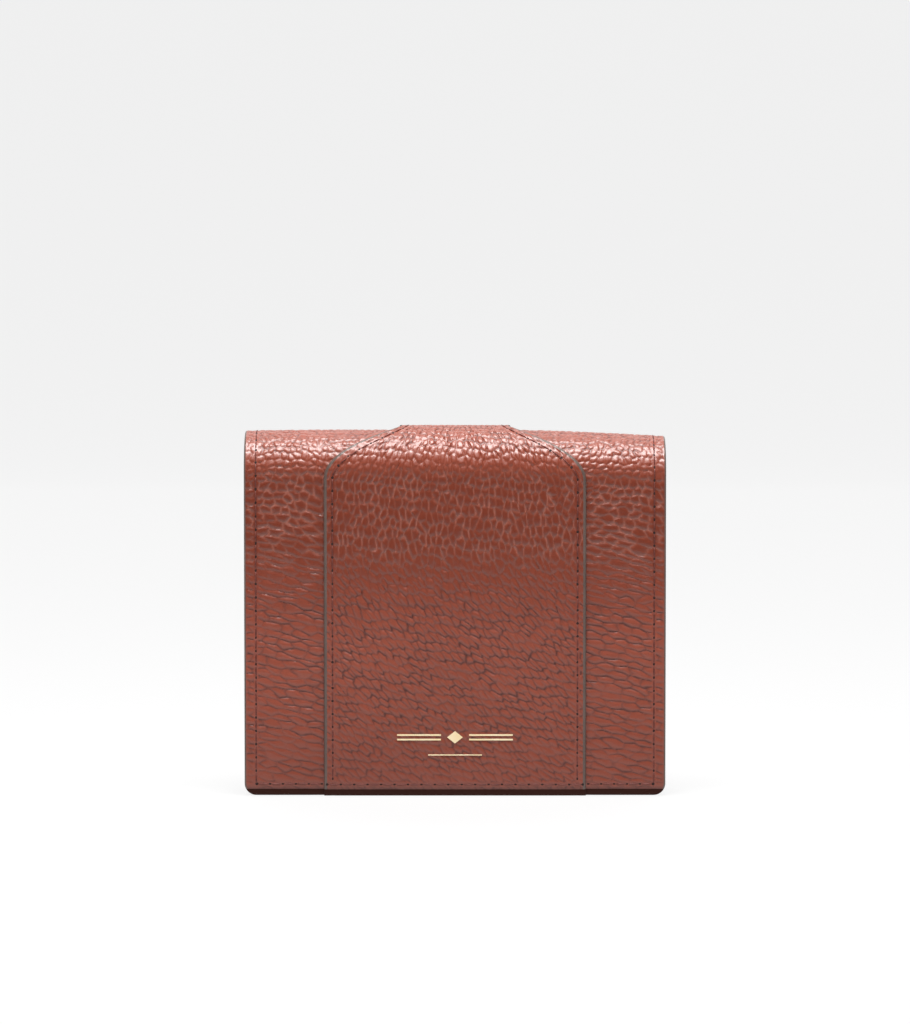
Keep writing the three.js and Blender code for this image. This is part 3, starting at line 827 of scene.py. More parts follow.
# Painted shade: the needle holes are near-black discs standing in for the shade inside each
# hole.
hole_shade = plain_material("needle_hole_shade", (0.018, 0.005, 0.004), (0.03, 0.008, 0.006),
                           (0.8, 0.9))
foil = plain_material("foil_stamp", (0.95, 0.74, 0.42), (1.0, 0.83, 0.55), (0.3, 0.42),
                      scale=300, bump=0.08, metallic=0.15)
gold = plain_material("pale_gold_metal", (0.66, 0.47, 0.27), (0.74, 0.55, 0.34), (0.2, 0.32),
                      scale=120, bump=0.06, bump_scale=2600, metallic=1.0)
steel = plain_material("satin_steel", (0.42, 0.41, 0.39), (0.52, 0.51, 0.48), (0.3, 0.42),
                       scale=120, bump=0.08, bump_scale=2600, metallic=1.0)
zip_cloth = woven_material("zip_cloth", (0.030, 0.010, 0.008), (0.095, 0.034, 0.026))
film = film_material("clear_film")


# ---------------------------------------------------------------- stitching

THREAD_END = 0.16
THREAD_SINK = 0.34
THREAD_RISE = 0.42
HOLE_RADIUS = 0.33
HOLE_SIDES = 8


def sweep(points, radius, sides=6, closed=False):
    """Points and faces of a round tube along points, in millimetres, with closed ends."""
    points = np.asarray(points, float)
    count = len(points)
    if closed:
        ahead = np.roll(points, -1, 0) - np.roll(points, 1, 0)
    else:
        ahead = np.gradient(points, axis=0)
    ahead /= np.linalg.norm(ahead, axis=1)[:, None]
    guide = np.array([0.0, 1.0, 0.0])
    if abs(ahead[:, 1]).max() > 0.9:
        guide = np.array([1.0, 0.0, 0.0])
    across = np.cross(ahead, guide)
    across /= np.linalg.norm(across, axis=1)[:, None]
    up = np.cross(across, ahead)
    radii = np.broadcast_to(np.asarray(radius, float), (count,))
    angles = TAU * np.arange(sides) / sides
    ring = (points[:, None] + radii[:, None, None] * (
        across[:, None] * np.cos(angles)[None, :, None]
        + up[:, None] * np.sin(angles)[None, :, None]))
    faces = []
    for i in range(count if closed else count - 1):
        for j in range(sides):
            a, b = i * sides + j, i * sides + (j + 1) % sides
            c, d = ((i + 1) % count) * sides + (j + 1) % sides, ((i + 1) % count) * sides + j
            faces.append((a, d, c, b))
    if not closed:
        faces.append(tuple(range(sides)))
        faces.append(tuple((count - 1) * sides + j for j in range(sides - 1, -1, -1)))
    return ring.reshape(-1, 3), faces


class Seams:
    """Gathers small parts, such as stitches and their needle holes, into one piece."""

    def __init__(self, name):
        self.name = name
        self.points = []
        self.faces = []
        self.kinds = []

    def put(self, points, faces, kind):
        """Adds a part. kind 0 is thread and 1 is a needle hole, a dark disc of painted shade."""
        start = len(self.points)
        self.points.extend(points.tolist())
        self.faces.extend(tuple(v + start for v in face) for face in faces)
        self.kinds.extend([kind] * len(faces))

    def run(self, place, line, thickness=0.17, pitch=PITCH):
        """Sews along line, a list of (x, s). place(x, s, lift) gives points in millimetres."""
        line = np.asarray(line, float)
        lengths = np.concatenate([[0], np.cumsum(np.hypot(*np.diff(line, axis=0).T))])
        count = max(1, round(lengths[-1] / pitch))
        marks = np.linspace(0, lengths[-1], count + 1)
        for a, b in zip(marks[:-1], marks[1:]):
            t = np.linspace(0, 1, 8)
            along = a + THREAD_END + (b - a - 2 * THREAD_END) * t
            x = np.interp(along, lengths, line[:, 0])
            s = np.interp(along, lengths, line[:, 1])
            lift = -THREAD_SINK + THREAD_RISE * np.sin(math.pi * t) ** 0.45
            points = place(x, s, lift)
            tube, faces = sweep(points, thickness * (0.8 + 0.2 * np.sin(math.pi * t)))
            self.put(tube, faces, 0)
        # A near-black disc of painted shade at each needle hole.
        for mark in marks:
            x = np.interp(mark, lengths, line[:, 0])
            s = np.interp(mark, lengths, line[:, 1])
            angles = TAU * np.arange(HOLE_SIDES) / HOLE_SIDES
            rim = place(x + HOLE_RADIUS * np.cos(angles), s + HOLE_RADIUS * np.sin(angles),
                        0.0 * angles)
            cup = place(np.array([x]), np.array([s]), np.array([0.03]))
            faces = [(j, (j + 1) % HOLE_SIDES, HOLE_SIDES) for j in range(HOLE_SIDES)]
            self.put(np.concatenate([rim, cup]), faces, 1)

    def build(self):
        return make_mesh(self.name, np.array(self.points) * MM, self.faces,
                         [thread, hole_shade], self.kinds)


def shell_place(offset, path=shell_path, soft=True):
    """Turns (x, s, lift) into points on a face at this offset from a path."""
    def place(x, s, lift):
        level = offset(x, s) if callable(offset) else offset
        y, z, ny, nz = path(s)
        y, z = y + ny * (level + lift), z + nz * (level + lift)
        if soft:
            x, y, z = soften(x, y, z)
        return np.stack([x, y, z], -1)
    return place


def corner_line(x0, x1, s0, s1, radius, steps=6):
    """A U-shaped line: down one side, across the bottom with round corners, up the other."""
    turn = np.linspace(0, QUARTER, steps)
    left = [(x0 + radius - radius * math.cos(a), s0 + radius - radius * math.sin(a))
            for a in turn]
    right = [(x1 - (p[0] - x0), p[1]) for p in reversed(left)]
    return [(x0, s1)] + left + right + [(x1, s1)]


# ---------------------------------------------------------------- placing pieces


def bend(piece, where, slot, *replaced):
    """A flexible piece that crosses one of the folds: hides the CAD parts it replaces and bakes
    its place into its mesh.
    """
    if replaced:
        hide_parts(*replaced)
    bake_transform(piece)


def ride(piece, body, slot, *replaced):
    """A piece that moves with one body."""
    if replaced:
        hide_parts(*replaced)
    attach(piece, body)
    return piece


# ---------------------------------------------------------------- shell pieces

FINE = 0.21
COVERED = 0.3
BACK_STEP = 0.34
BOTTOM_STEP = 0.4
PANEL_STEP = 0.42
LINING_STEP = 1.1


def across(half, step, marks=()):
    """Grid lines across a sheet, with finished edges at both sides."""
    return spread(-half, half, step, True, True, marks)


def flap_columns():
    """Fine columns where the flap shows, coarser ones where the overlay covers it below the
    fold, and coarse ones where it is always covered."""
    side = spread(-HALF_WIDTH, -OVERLAY_HALF + 1, FINE, edge_start=True)
    shoulder = spread(-OVERLAY_HALF + 1, -NECK_HALF + 2, COVERED)
    under = spread(-NECK_HALF + 2, NECK_HALF - 2, 3)
    left = np.concatenate([side[:-1], shoulder[:-1]])
    return np.concatenate([left, under[:-1], -left[::-1]])


# The grooves that the stitches lie in, as the distance from each point to the stitch line.
def groove(edge, inset):
    """A groove at a distance inside the sides (0), the start (1) or the end (2)."""
    return lambda x, s, *distances: distances[edge] - inset


side_groove = groove(0, SIDE_STITCH)
overlay_side_groove = groove(0, OVERLAY_STITCH)
overlay_bottom_groove = groove(1, BOTTOM_STITCH)
tab_end_groove = groove(2, OVERLAY_STITCH)


def flap_bottom_groove(x, s, side, start, end):
    return np.where(np.abs(x) < HALF_WIDTH - SIDE_STITCH, start - BOTTOM_STITCH, 9)


def window_groove(x, s, side, start, end):
    x_out = np.abs(x) - WINDOW_HALF_X
    s_out = np.maximum(WINDOW[2] - s, s - WINDOW[3])
    return np.maximum(x_out, s_out) - WINDOW_STITCH


def shell_sheet(name, rows, columns, half_width, grain, finished, grooves,
                faces=(0.0, -LEATHER), **more):
    """A layer of pebbled leather. faces are its outer and inner face's offsets."""
    sheet = Sheet(name, shell_path, rows, columns, half_width, *faces, grain,
                  finished=finished, grooves=grooves, plain_step=12, **more)
    return sheet.build([leather, edge_paint, foot_shade_leather])


def build_shell():
    """The outer leather, cut where one fold ends and the next begins."""
    over = (OVER_TOP, OVER)
    front_rows = spread(0, S_TOP, FINE, edge_start=True)
    bend(shell_sheet("flap_shell", front_rows, flap_columns(), flap_half, shell_grain,
                     (True, False), (side_groove, flap_bottom_groove), end_roll=(0.8, 0),
                     end_reach=(2.2, 1), burnish=burnished_foot),
         "flap", "shell_leather", "flap_leather", "top_fold_leather")
    bend(shell_sheet("arched_overlay", front_rows, across(OVERLAY_HALF, FINE), overlay_half,
                     overlay_grain, (True, False), (overlay_side_groove, overlay_bottom_groove),
                     faces=over, end_roll=(0.8, 0), end_reach=(2.6, 1), side_roll=0.85,
                     side_reach=1.1, paint=0.86, burnish=burnished_foot),
         "flap", "shell_leather", "overlay_front", "overlay_neck")
    bend(shell_sheet("overlay_tab", spread(S_TOP, TAB_END_S, FINE, edge_end=True),
                     across(NECK_HALF, FINE), overlay_half, overlay_grain, (False, True),
                     (overlay_side_groove, tab_end_groove), faces=over),
         "back", "shell_leather", "overlay_back_tab")
    bend(shell_sheet("back_shell", spread(S_TOP, BACK_SPLIT_S, BACK_STEP, marks=WINDOW[2:]),
                     across(HALF_WIDTH, BACK_STEP, marks=WINDOW[:2]), constant_half(HALF_WIDTH),
                     shell_grain, (False, False), (side_groove, window_groove), window=WINDOW),
         "back", "shell_leather", "back_leather")
    bend(shell_sheet("bottom_shell", spread(BACK_SPLIT_S, S_BOTTOM, BOTTOM_STEP),
                     across(HALF_WIDTH, BOTTOM_STEP), lower_half, shell_grain, (False, False),
                     (side_groove,)),
         "bottom", "shell_leather", "bottom_fold_leather")
    bend(shell_sheet("panel_shell", spread(S_BOTTOM, S_END, PANEL_STEP, edge_end=True),
                     across(PANEL_HALF, PANEL_STEP), panel_half, back_grain, (False, True),
                     (side_groove, tab_end_groove)),
         "panel", "shell_leather", "panel_leather")


def build_lining(where, rows, width, finished, replaced, full=HALF_WIDTH, window=None):
    """A smooth lining inside the shell, a little narrower, whose fine face looks inwards."""
    def narrower(s):
        return width(s) - LINING_INSET
    columns = across(full - LINING_INSET, LINING_STEP, marks=window[:2] if window else ())
    lining = Sheet(f"{where}_lining_sheet", shell_path, rows, columns, narrower, LINING_IN,
                   LINING_OUT, finished=finished, side_roll=0.2, end_roll=(0.2, 0.2),
                   window=window, plain_step=8)
    bend(lining.build([smooth_leather, smooth_leather]), where, "lining", *replaced)


def build_linings():
    build_lining("flap", spread(0.6, S_TOP, LINING_STEP, edge_start=True), flap_half,
                 (True, False), ("flap_lining", "top_fold_lining"))
    build_lining("back", spread(S_TOP, BACK_SPLIT_S, LINING_STEP, marks=WINDOW[2:]),
                 constant_half(HALF_WIDTH), (False, False), ("back_lining",), window=WINDOW)
    build_lining("bottom", spread(BACK_SPLIT_S, S_BOTTOM, LINING_STEP), lower_half,
                 (False, False), ("bottom_fold_lining",))
    build_lining("panel", spread(S_BOTTOM, S_END - LINING_INSET, LINING_STEP, edge_end=True),
                 panel_half, (False, True), ("panel_lining",), full=PANEL_HALF)


# ---------------------------------------------------------------- seams of the shell

on_shell = shell_place(-0.1)
on_overlay = shell_place(OVER_TOP - 0.1)
side_x = HALF_WIDTH - SIDE_STITCH


def overlay_edge_line(s_from, s_to, side):
    """The overlay's stitch line on one side, a fixed distance inside its edge."""
    s = np.linspace(s_from, s_to, 90)
    half = overlay_half(s)
    slope = np.gradient(half, s)
    length = np.sqrt(1 + slope ** 2)
    x = half - OVERLAY_STITCH / length
    along = s + OVERLAY_STITCH * slope / length
    return list(zip(side * x, along))


def sew_flap():
    seams = Seams("flap_stitching")
    for side in (-1, 1):
        seams.run(on_shell, [(side * side_x, S_TOP), (side * side_x, BOTTOM_STITCH)])
        seams.run(on_shell, [(side * (side_x - 0.2), BOTTOM_STITCH),
                             (side * (OVERLAY_HALF + 0.6), BOTTOM_STITCH)])
        seams.run(on_overlay, overlay_edge_line(BOTTOM_STITCH + 1.4, S_TOP, side))
    seams.run(on_overlay, [(-OVERLAY_HALF + 0.8, BOTTOM_STITCH),
                           (OVERLAY_HALF - 0.8, BOTTOM_STITCH)])
    bend(seams.build(), "flap", "shell_leather")


def sew_back():
    """The side seams, the overlay's tab and the zip window."""
    seams = Seams("back_stitching")
    tab_x = NECK_HALF - OVERLAY_STITCH
    straight_end = TAB_END_S - TAB_CORNER
    turn = TAB_CORNER - OVERLAY_STITCH
    for side in (-1, 1):
        seams.run(on_shell, [(side * side_x, S_TOP + 0.2), (side * side_x, BACK_SPLIT_S - 0.3)])
        seams.run(on_overlay, [(side * tab_x, S_TOP + 0.2), (side * tab_x, straight_end)])
    seams.run(on_overlay, [(-x, 2 * straight_end - s) for x, s in
                           corner_line(-tab_x, tab_x, straight_end - turn, straight_end, turn)])
    x = WINDOW_HALF_X + WINDOW_STITCH
    low, high = WINDOW[2] - WINDOW_STITCH, WINDOW[3] + WINDOW_STITCH
    seams.run(on_shell, [(-x, low), (x, low), (x, high), (-x, high), (-x, low)])
    bend(seams.build(), "back", "shell_leather")


def sew_bottom_and_panel():
    bottom = Seams("bottom_stitching")
    panel = Seams("panel_stitching")
    panel_x = PANEL_HALF - SIDE_STITCH
    for side in (-1, 1):
        bottom.run(on_shell, [(side * side_x, BACK_SPLIT_S + 0.3), (side * (side_x - 1), S_FLAT),
                              (side * panel_x, S_BOTTOM - 0.3)])
    panel.run(on_shell, [(-x, S_END - s) for x, s in
                         corner_line(-panel_x, panel_x, OVERLAY_STITCH, S_END - S_BOTTOM - 0.3,
                                     2.5)])
    bend(bottom.build(), "bottom", "shell_leather")
    bend(panel.build(), "panel", "shell_leather")


# ---------------------------------------------------------------- foil mark

MARK_S = 14.4
RULE = 0.4
RULE_CENTRE = 0.55
FOIL = 0.19


def foil_shape(outline, s_centre):
    """A thin stamped shape on the overlay. outline is a list of (x, s) about the centre."""
    count = len(outline)
    x = np.array([p[0] for p in outline])
    s = np.array([s_centre + p[1] for p in outline])
    upper = on_overlay(x, s, FOIL + 0 * x)
    lower = on_overlay(x, s, 0 * x)
    faces = [tuple(range(count)), tuple(range(2 * count - 1, count - 1, -1))]
    for j in range(count):
        k = (j + 1) % count
        faces.append((j, j + count, k + count, k))
    return np.concatenate([upper, lower]), faces


def rule(x0, x1, centre, thickness=RULE, steps=8):
    """A thin rule, with extra points along it so that it follows the leather."""
    along = np.linspace(x0, x1, steps + 1)
    s0, s1 = centre - thickness / 2, centre + thickness / 2
    return [(x, s0) for x in along] + [(x, s1) for x in along[::-1]]


def stamp_mark():
    """A lozenge between pairs of rules, and one short rule below."""
    mark = Seams("foil_mark")
    mark.put(*foil_shape([(-1.9, 0), (0, -1.5), (1.9, 0), (0, 1.5)], MARK_S), 0)
    for level in (RULE_CENTRE, -RULE_CENTRE):
        mark.put(*foil_shape(rule(-14, -3.4, level), MARK_S), 0)
        mark.put(*foil_shape(rule(3.4, 14, level), MARK_S), 0)
    mark.put(*foil_shape(rule(-6.5, 6.5, 0, 0.24), MARK_S - 4.3), 0)
    ride(make_mesh("foil_mark", np.array(mark.points) * MM, mark.faces, [foil]),
         "flap", "gold_metal")


# ---------------------------------------------------------------- inner sheets

POCKET_THREAD = dict(thickness=0.15, pitch=2.6)
FRAME_RIM = 6.0
FRAME_RIM_BELOW = 7.0


def turned_edge(x, s, side, start, end, lip=3.0):
    """A turned-over top edge with a pressed line under it."""
    return (0.07 * (1 - smooth((end - lip + 0.25) / 0.5))
            - 0.09 * np.exp(-((end - lip) / 0.22) ** 2))


def inner_sheet(name, node, body, material, slot, outward=True, step=0.9, corner=1.5,
                hole=None, extra=None, roll=0.16):
    """A flat upright layer inside the wallet, in place of a CAD sheet."""
    low, high = box_mm(node)

    def width(s):
        return rounded(high[0], high[2] - s, corner)
    thickness = high[1] - low[1]
    rows = spread(low[2], high[2], step, True, True, marks=hole[2:] if hole else ())
    columns = across(high[0], step * 1.6, marks=hole[:2] if hole else ())
    fine, plain = (0.0, -thickness) if outward else (-thickness, 0.0)
    layer = Sheet(name, upright_path(low[1]), rows, columns, width, fine, plain,
                  side_roll=roll, end_roll=(roll, roll), end_reach=(0.4, 0.4), window=hole,
                  extra=extra)
    piece = layer.build([material, edge_paint if slot != "zip_cloth" else material])
    return ride(piece, body, slot, node)


def build_coin_wall():
    """The cloth that closes the coin pocket."""
    wall = inner_sheet("coin_pocket_lining", "coin_pocket_wall", "middle", zip_cloth,
                       "zip_cloth", outward=False)


def build_pockets():
    inner_sheet("divider", "bill_divider", "middle", smooth_leather, "lining")
    build_coin_wall()
    inner_sheet("card_base", "middle_base", "middle", smooth_leather, "lining")
    for tier in range(1, 5):
        inner_sheet(f"card_pocket_{tier}", f"card_tier_{tier}", "middle", pocket_leather,
                    "pocket_leather", extra=turned_edge)
    for tier in range(1, 3):
        inner_sheet(f"panel_pocket_{tier}", f"panel_tier_{tier}", "panel", pocket_leather,
                    "pocket_leather", outward=False, extra=turned_edge)


def build_window():
    """The clear window's frame, on the inside of the flap, and its film."""
    low, high = box_mm("id_window_frame")
    half = high[0] - FRAME_RIM
    inner_sheet("window_frame", "id_window_frame", "flap", pocket_leather, "pocket_leather",
                outward=False,
                hole=(-half, half, low[2] + FRAME_RIM_BELOW, high[2] - FRAME_RIM))
    inner_sheet("window_film", "id_window_film", "flap", film, "clear_film", outward=False,
                step=2.0, roll=0.05)


def upright_place(node, outward=True):
    """Places stitches on the outward (-Y) or inward (+Y) face of a flat upright CAD sheet."""
    low, high = box_mm(node)
    if outward:
        return shell_place(-0.06, upright_path(low[1])), low, high

    def inward(s):
        s = np.asarray(s, float)
        return high[1] + 0 * s, s, 1 + 0 * s, 0 * s
    return shell_place(-0.06, inward), low, high


def sew_pockets(name, nodes, body, outward):
    """Sews a stack of pockets down both sides, each pocket where it shows above the next."""
    margin, foot = 2.4, 2.5
    seams = Seams(name)
    tops = [box_mm(node)[1][2] for node in nodes] + [box_mm(nodes[0])[0][2] + foot]
    for node, top, below in zip(nodes, tops[:-1], tops[1:]):
        place, low, high = upright_place(node, outward)
        for side in (-1, 1):
            x = side * (high[0] - margin)
            seams.run(place, [(x, below + 0.4), (x, top - 0.5)], **POCKET_THREAD)
    place, low, high = upright_place(nodes[-1], outward)
    seams.run(place, [(low[0] + margin, low[2] + foot), (high[0] - margin, low[2] + foot)],
              **POCKET_THREAD)
    ride(seams.build(), body, "pocket_leather")


def sew_window():
    seams = Seams("window_stitching")
    place, low, high = upright_place("id_window_frame", outward=False)
    x = high[0] - FRAME_RIM / 2
    bottom, top = low[2] + FRAME_RIM_BELOW / 2, high[2] - FRAME_RIM / 2
    seams.run(place, [(-x, bottom), (x, bottom), (x, top), (-x, top), (-x, bottom)],
              **POCKET_THREAD)
    ride(seams.build(), "flap", "pocket_leather")


# ---------------------------------------------------------------- zip

TOOTH_PITCH = 2.1
PLATE = 0.55
PLATE_HALF_LENGTH = 4.5
WIRE = 0.27
slider_x = (slider_low[0] + slider_high[0]) / 2
ring_y = (ring_low[1] + ring_high[1]) / 2


def bevelled(name, shapes, material, bevel=0.12, segments=2):
    """Plates cut to outlines: each shape is (outline in (x, z), front y, back y)."""
    mesh_all = bmesh.new()
    for outline, y0, y1 in shapes:
        corners = [mesh_all.verts.new((x * MM, y1 * MM, z * MM)) for x, z in outline]
        face = mesh_all.faces.new(corners)
        grown = bmesh.ops.extrude_face_region(mesh_all, geom=[face])
        moved = [v for v in grown["geom"] if isinstance(v, bmesh.types.BMVert)]
        bmesh.ops.translate(mesh_all, verts=moved, vec=(0, (y0 - y1) * MM, 0))
    bmesh.ops.recalc_face_normals(mesh_all, faces=mesh_all.faces)
    sharp = [e for e in mesh_all.edges if e.calc_face_angle(0) > math.radians(25)]
    bmesh.ops.bevel(mesh_all, geom=sharp, offset=bevel * MM, segments=segments, profile=0.6,
                    affect="EDGES", clamp_overlap=True)
    mesh = bpy.data.meshes.new(name)
    mesh_all.to_mesh(mesh)
    mesh_all.free()
    mesh.materials.append(material)
    mesh.shade_smooth()
    mesh.set_sharp_from_angle(angle=math.radians(40))
    piece = bpy.data.objects.new(name, mesh)
    bpy.context.scene.collection.objects.link(piece)
    return piece


def tooth_outline(x, side):
    """A zip tooth: a waisted leg on the tape and a rounded head past the middle."""
    right = [(0.28, -0.42), (0.46, -0.15), (0.46, 0.35), (0.30, 0.7), (0.42, 1.1), (0.42, 2.3)]
    profile = [(-dx, dz) for dx, dz in reversed(right)] + right
    return [(x + dx, ZIP_Z + side * dz) for dx, dz in profile]


def build_teeth(name, side, shift):
    low, high = box_mm(f"zip_teeth_{name}")
    places = np.arange(0.6 - high[0], high[0] - 1.2, TOOTH_PITCH) + shift
    shapes = [(tooth_outline(x, side), low[1], high[1] - 0.1) for x in places]
    teeth = bevelled(f"zip_teeth_row_{name}", shapes, gold, bevel=0.1, segments=1)
    ride(teeth, "middle", "gold_metal", f"zip_teeth_{name}")


def build_tape(name, side):
    """A woven tape, a little thicker along the edge that carries the teeth."""
    low, high = box_mm(f"zip_tape_{name}")

    def bead(x, s, distance, start, end):
        inner = start if side > 0 else end
        return 0.22 * np.exp(-((inner - 0.5) / 0.5) ** 2)
    tape = Sheet(f"zip_tape_cloth_{name}", upright_path(low[1]), spread(low[2], high[2], 0.5),
                 across(high[0], 1.5), constant_half(high[0]), -(high[1] - low[1]), 0.0,
                 side_roll=0.1, end_roll=(0.1, 0.1), extra=bead, soft=False)
    ride(tape.build([zip_cloth, zip_cloth]), "middle", "zip_cloth", f"zip_tape_{name}")


def build_stop(name):
    low, high = box_mm(f"zip_stop_{name}")
    outline = [(low[0], low[2]), (high[0], low[2]), (high[0], high[2]), (low[0], high[2])]
    stop = bevelled(f"zip_end_stop_{name}", [(outline, low[1], high[1])], gold, bevel=0.2)
    ride(stop, "middle", "gold_metal", f"zip_stop_{name}")


def slider_outline(half_height, waist=0.72):
    """A slider plate: broad at the mouth, drawn in at the waist, round at the tail."""
    points = []
    for t in np.linspace(-1, 1, 13):
        spread_here = half_height * (1 - (1 - waist) * smooth((t + 0.2) / 1.1))
        end = math.sqrt(max(0.0, 1 - max(0.0, abs(t) - 0.72) ** 2 / 0.28 ** 2))
        points.append((slider_x + PLATE_HALF_LENGTH * t, spread_here * (0.45 + 0.55 * end)))
    upper = [(x, ZIP_Z + h) for x, h in points]
    lower = [(x, ZIP_Z - h) for x, h in reversed(points)]
    return lower + upper


def build_slider():
    """Two plates, and a bridge arched over the outer one that holds the ring."""
    bridge_low, bridge_high = box_mm("zip_bridge")
    plate_y = bridge_low[1] - 0.02
    plates = [(slider_outline(3.8), plate_y - PLATE, plate_y),
              (slider_outline(3.6), slider_low[1], slider_low[1] + PLATE)]
    slider = bevelled("zip_slider_body", plates, gold, bevel=0.16, segments=3)
    ride(slider, "zip_runner", "gold_metal", "zip_slider")
    angles = math.pi * np.linspace(0, 1, 15)
    rise = bridge_high[1] - plate_y - 0.05
    arch = [(slider_x, plate_y - 0.25 + rise * math.sin(angle) ** 0.6,
             ZIP_Z - 1.15 * math.cos(angle)) for angle in angles]
    points, faces = sweep(arch, 0.28, sides=10)
    points[:, 0] = slider_x + (points[:, 0] - slider_x) * 2.2
    ride(make_mesh("zip_slider_bridge", points * MM, faces, [gold]),
         "zip_runner", "gold_metal", "zip_bridge")


def rounded_loop(corners, radius, steps=5):
    """A closed line through corners in (x, z), each rounded off."""
    line = []
    count = len(corners)
    for index in range(count):
        before, here, after = (np.array(corners[(index + k) % count]) for k in (-1, 0, 1))
        into = (before - here) / np.linalg.norm(before - here)
        out = (after - here) / np.linalg.norm(after - here)
        for t in np.linspace(0, 1, steps):
            a, b = here + into * radius * (1 - t), here + out * radius * t
            line.append(a * (1 - t) + b * t)
    return line


TAB_TOP = ZIP_Z - 6.3
TAB_TURN = 0.42
TAB_LENGTH = TAB_TOP - pull_low[2]
TAB_TOTAL = 2 * TAB_LENGTH + math.pi * TAB_TURN
TAB_HALF = 2.75
TAB_TIP = 2.0


def build_ring():
    """A wire ring through the bridge, wider below."""
    corners = [(slider_x - 3.1, TAB_TOP), (slider_x + 3.1, TAB_TOP),
               (slider_x + 3.1, ZIP_Z - 2.1), (slider_x + 1.6, ZIP_Z),
               (slider_x - 1.6, ZIP_Z), (slider_x - 3.1, ZIP_Z - 2.1)]
    loop = [(x, ring_y, z) for x, z in rounded_loop(corners, 0.7)]
    points, faces = sweep(loop, WIRE, sides=10, closed=True)
    ride(make_mesh("pull_ring", points * MM, faces, [gold]),
         "zip_pull", "gold_metal", "zip_pull_ring")


def tab_path(s):
    """Up the back of the tab, round the ring's bar and down the front. s starts below."""
    s = np.asarray(s, float)
    angle = (s - TAB_LENGTH) / TAB_TURN
    turn = math.pi * TAB_TURN
    pieces = [s < TAB_LENGTH, s < TAB_LENGTH + turn]
    y = np.select(pieces, [ring_y - TAB_TURN, ring_y - TAB_TURN * np.cos(angle)],
                  ring_y + TAB_TURN)
    z = np.select(pieces, [pull_low[2] + s, TAB_TOP + TAB_TURN * np.sin(angle)],
                  TAB_TOP - (s - TAB_LENGTH - turn))
    ny = np.select(pieces, [-1, -np.cos(angle)], 1)
    nz = np.select(pieces, [0, np.sin(angle)], 0)
    return y, z, ny, nz


def tab_half(s):
    """A slim neck at the ring, broader below, with a rounded free end."""
    from_end = np.minimum(s, TAB_TOTAL - s)
    neck = smooth((from_end - TAB_LENGTH + 3.5) / 2.5)
    return rounded(TAB_HALF - 0.65 * neck, from_end, TAB_TIP)


def tab_grain(x, s):
    """Small shallow pebbles."""
    height, crease = pebbles(x / 1.3, s / 1.5, 9)
    return 0.5 * height, 0.5 * crease


def build_tab():
    """The leather tab, built about x = 0 and moved under the slider."""
    sheet = Sheet("pull_tab", tab_path, spread(0, TAB_TOTAL, 0.35, True, True),
                  across(TAB_HALF, 0.35), tab_half, 0.26, -0.12, tab_grain,
                  side_roll=0.15, end_roll=(0.15, 0.15), end_reach=(0.3, 0.3), soft=False,
                  plain_step=4)
    tab = sheet.build([leather, edge_paint])
    tab.data.transform(Matrix.Translation((slider_x * MM, 0, 0)))
    ride(tab, "zip_pull", "shell_leather", "zip_pull_tab")


def build_zip():
    for name, side, shift in (("upper", 1, 0.0), ("lower", -1, TOOTH_PITCH / 2)):
        build_teeth(name, side, shift)
        build_tape(name, side)
    for name in ("left", "right"):
        build_stop(name)
    build_slider()
    build_ring()
    build_tab()


# ---------------------------------------------------------------- snap

def turned(name, profile, centre_z, material, segments=48):
    """A solid of revolution about a line along Y. profile is (radius, y), from axis to axis."""
    angles = TAU * np.arange(segments) / segments
    points = []
    faces = []
    rings = []
    for radius, y in np.array(profile, float):
        if radius < 1e-6:
            rings.append([len(points)] * segments)
            points.append((0, y, centre_z))
        else:
            rings.append(list(range(len(points), len(points) + segments)))
            points.extend((radius * math.cos(a), y, centre_z + radius * math.sin(a))
                          for a in angles)
    for below, above in zip(rings[:-1], rings[1:]):
        for j in range(segments):
            k = (j + 1) % segments
            face = list(dict.fromkeys([below[j], above[j], above[k], below[k]]))
            if len(face) > 2:
                faces.append(tuple(face))
    return make_mesh(name, np.array(points) * MM, faces, [material])


def build_snap():
    """A turned stud with a round knob, the rimmed socket that takes it, and steel behind."""
    snap_z = (stud_low[2] + stud_high[2]) / 2
    base, tip = stud_high[1], stud_low[1]
    stud = turned("snap_stud_turned", [
        (0, base), (3.9, base), (4.0, base - 0.1), (3.8, base - 0.28), (2.2, base - 0.36),
        (1.55, base - 0.5), (1.42, base - 0.9), (1.5, tip + 1.15), (1.82, tip + 0.85),
        (1.9, tip + 0.6), (1.75, tip + 0.3), (1.3, tip + 0.08), (0.8, tip + 0.02),
        (0, tip)], snap_z, gold)
    ride(stud, "panel", "gold_metal", "snap_stud")
    socket_low, socket_high = box_mm("snap_socket")
    floor, rim = socket_low[1], socket_high[1]
    socket = turned("snap_socket_turned", [
        (0, floor + 0.3), (2.7, floor + 0.3), (2.72, rim - 0.35), (2.85, rim - 0.1),
        (3.1, rim), (3.9, rim - 0.02), (4.4, rim - 0.25), (4.6, rim - 0.7),
        (4.9, rim - 1.0), (5.0, floor + 0.3), (4.95, floor), (0, floor)], snap_z, gold)
    ride(socket, "flap", "gold_metal", "snap_socket")
    for node in ("snap_cap", "snap_post"):
        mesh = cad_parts[node].data
        mesh.materials.clear()
        mesh.materials.append(steel)


# ---------------------------------------------------------------- stage, lights and camera

FLOOR_FRONT = -0.40
WALL_START = 1.3
WALL_CURVE = 0.5
WALL_TOP = 1.8
WALL_WIDTH = 4.4
DISTANCE = 1.1
ELEVATION = math.radians(3.5)
AIM_HEIGHT = 0.069
FIELD_HEIGHT = 0.247
SENSOR = 36.0


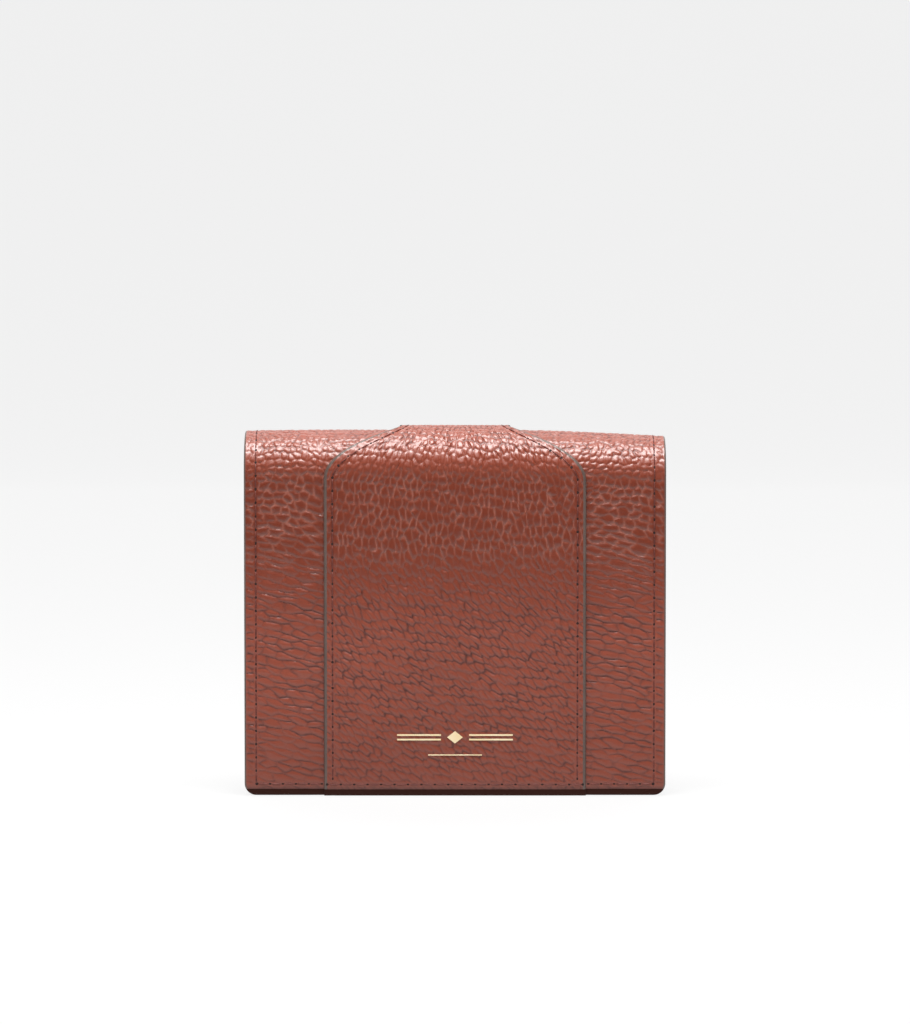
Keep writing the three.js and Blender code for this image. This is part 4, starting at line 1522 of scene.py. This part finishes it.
def backdrop():
    """A pale floor that curves up into a wall well behind the wallet. The paper glows, as if
    lit from below, so that shadows on it stay faint."""
    material, tree, shader = node_material("pale_paper")
    set_values(shader, {"Base Color": (0.08, 0.08, 0.08, 1), "Roughness": 0.9,
                        "Emission Color": (1, 1, 1, 1), "Emission Strength": 0.82})
    profile = [(FLOOR_FRONT, 0.0), (WALL_START, 0.0)]
    profile += [(WALL_START + WALL_CURVE * math.sin(a), WALL_CURVE * (1 - math.cos(a)))
                for a in np.linspace(0.1, QUARTER, 14)]
    profile += [(WALL_START + WALL_CURVE, WALL_TOP)]
    points = [(x, y, z) for y, z in profile for x in (-WALL_WIDTH / 2, WALL_WIDTH / 2)]
    faces = [(2 * i, 2 * i + 1, 2 * i + 3, 2 * i + 2) for i in range(len(profile) - 1)]
    make_mesh("backdrop", np.array(points), faces, [material])


def turned_towards(target, location):
    return (Vector(target) - Vector(location)).to_track_quat("-Z", "Y").to_euler()


def area_light(name, location, target, size, power):
    light = bpy.data.lights.new(name, "AREA")
    light.shape = "RECTANGLE"
    light.size, light.size_y = size
    light.energy = power
    lamp = bpy.data.objects.new(name, light)
    lamp.location = location
    lamp.rotation_euler = turned_towards(target, location)
    bpy.context.scene.collection.objects.link(lamp)


def dim_surroundings():
    """The room beyond the paper and the lights."""
    world = bpy.data.worlds.new("studio")
    bpy.context.scene.world = world
    world.use_nodes = True
    set_values(world.node_tree.nodes["Background"],
               {"Color": (0.95, 0.97, 1.0, 1), "Strength": 0.12})


def place_camera():
    """Straight in front and slightly above. The lens makes the picture FIELD_HEIGHT high at
    the flap."""
    data = bpy.data.cameras.new("camera")
    data.sensor_fit = "VERTICAL"
    data.sensor_height = SENSOR
    data.lens = SENSOR * DISTANCE / FIELD_HEIGHT
    camera = bpy.data.objects.new("camera", data)
    aim = Vector((0, cad_low.y, AIM_HEIGHT))
    camera.location = aim + DISTANCE * Vector((0, -math.cos(ELEVATION), math.sin(ELEVATION)))
    camera.rotation_euler = turned_towards(aim, camera.location)
    bpy.context.scene.collection.objects.link(camera)
    bpy.context.scene.camera = camera


# ---------------------------------------------------------------- the wallet

build_shell()
build_linings()
sew_flap()
sew_back()
sew_bottom_and_panel()
stamp_mark()
build_pockets()
build_window()
sew_pockets("card_pocket_stitching", [f"card_tier_{n}" for n in range(1, 5)], "middle", True)
sew_pockets("panel_pocket_stitching", ["panel_tier_1", "panel_tier_2"], "panel", False)
sew_window()
build_zip()
build_snap()

backdrop()
area_light("overhead_softbox", (0, -0.15, 0.62), (0, 0, 0.08), (0.36, 0.28), 6.1)
area_light("front_light", (0, -1.0, 1.0), (0, -0.2, 0.05), (1.2, 0.5), 3.6)
area_light("back_light", (0, 0.85, 1.2), (0, 0.1, 0.05), (1.6, 0.5), 6)
dim_surroundings()
bpy.context.scene.view_settings.view_transform = "Standard"
place_camera()
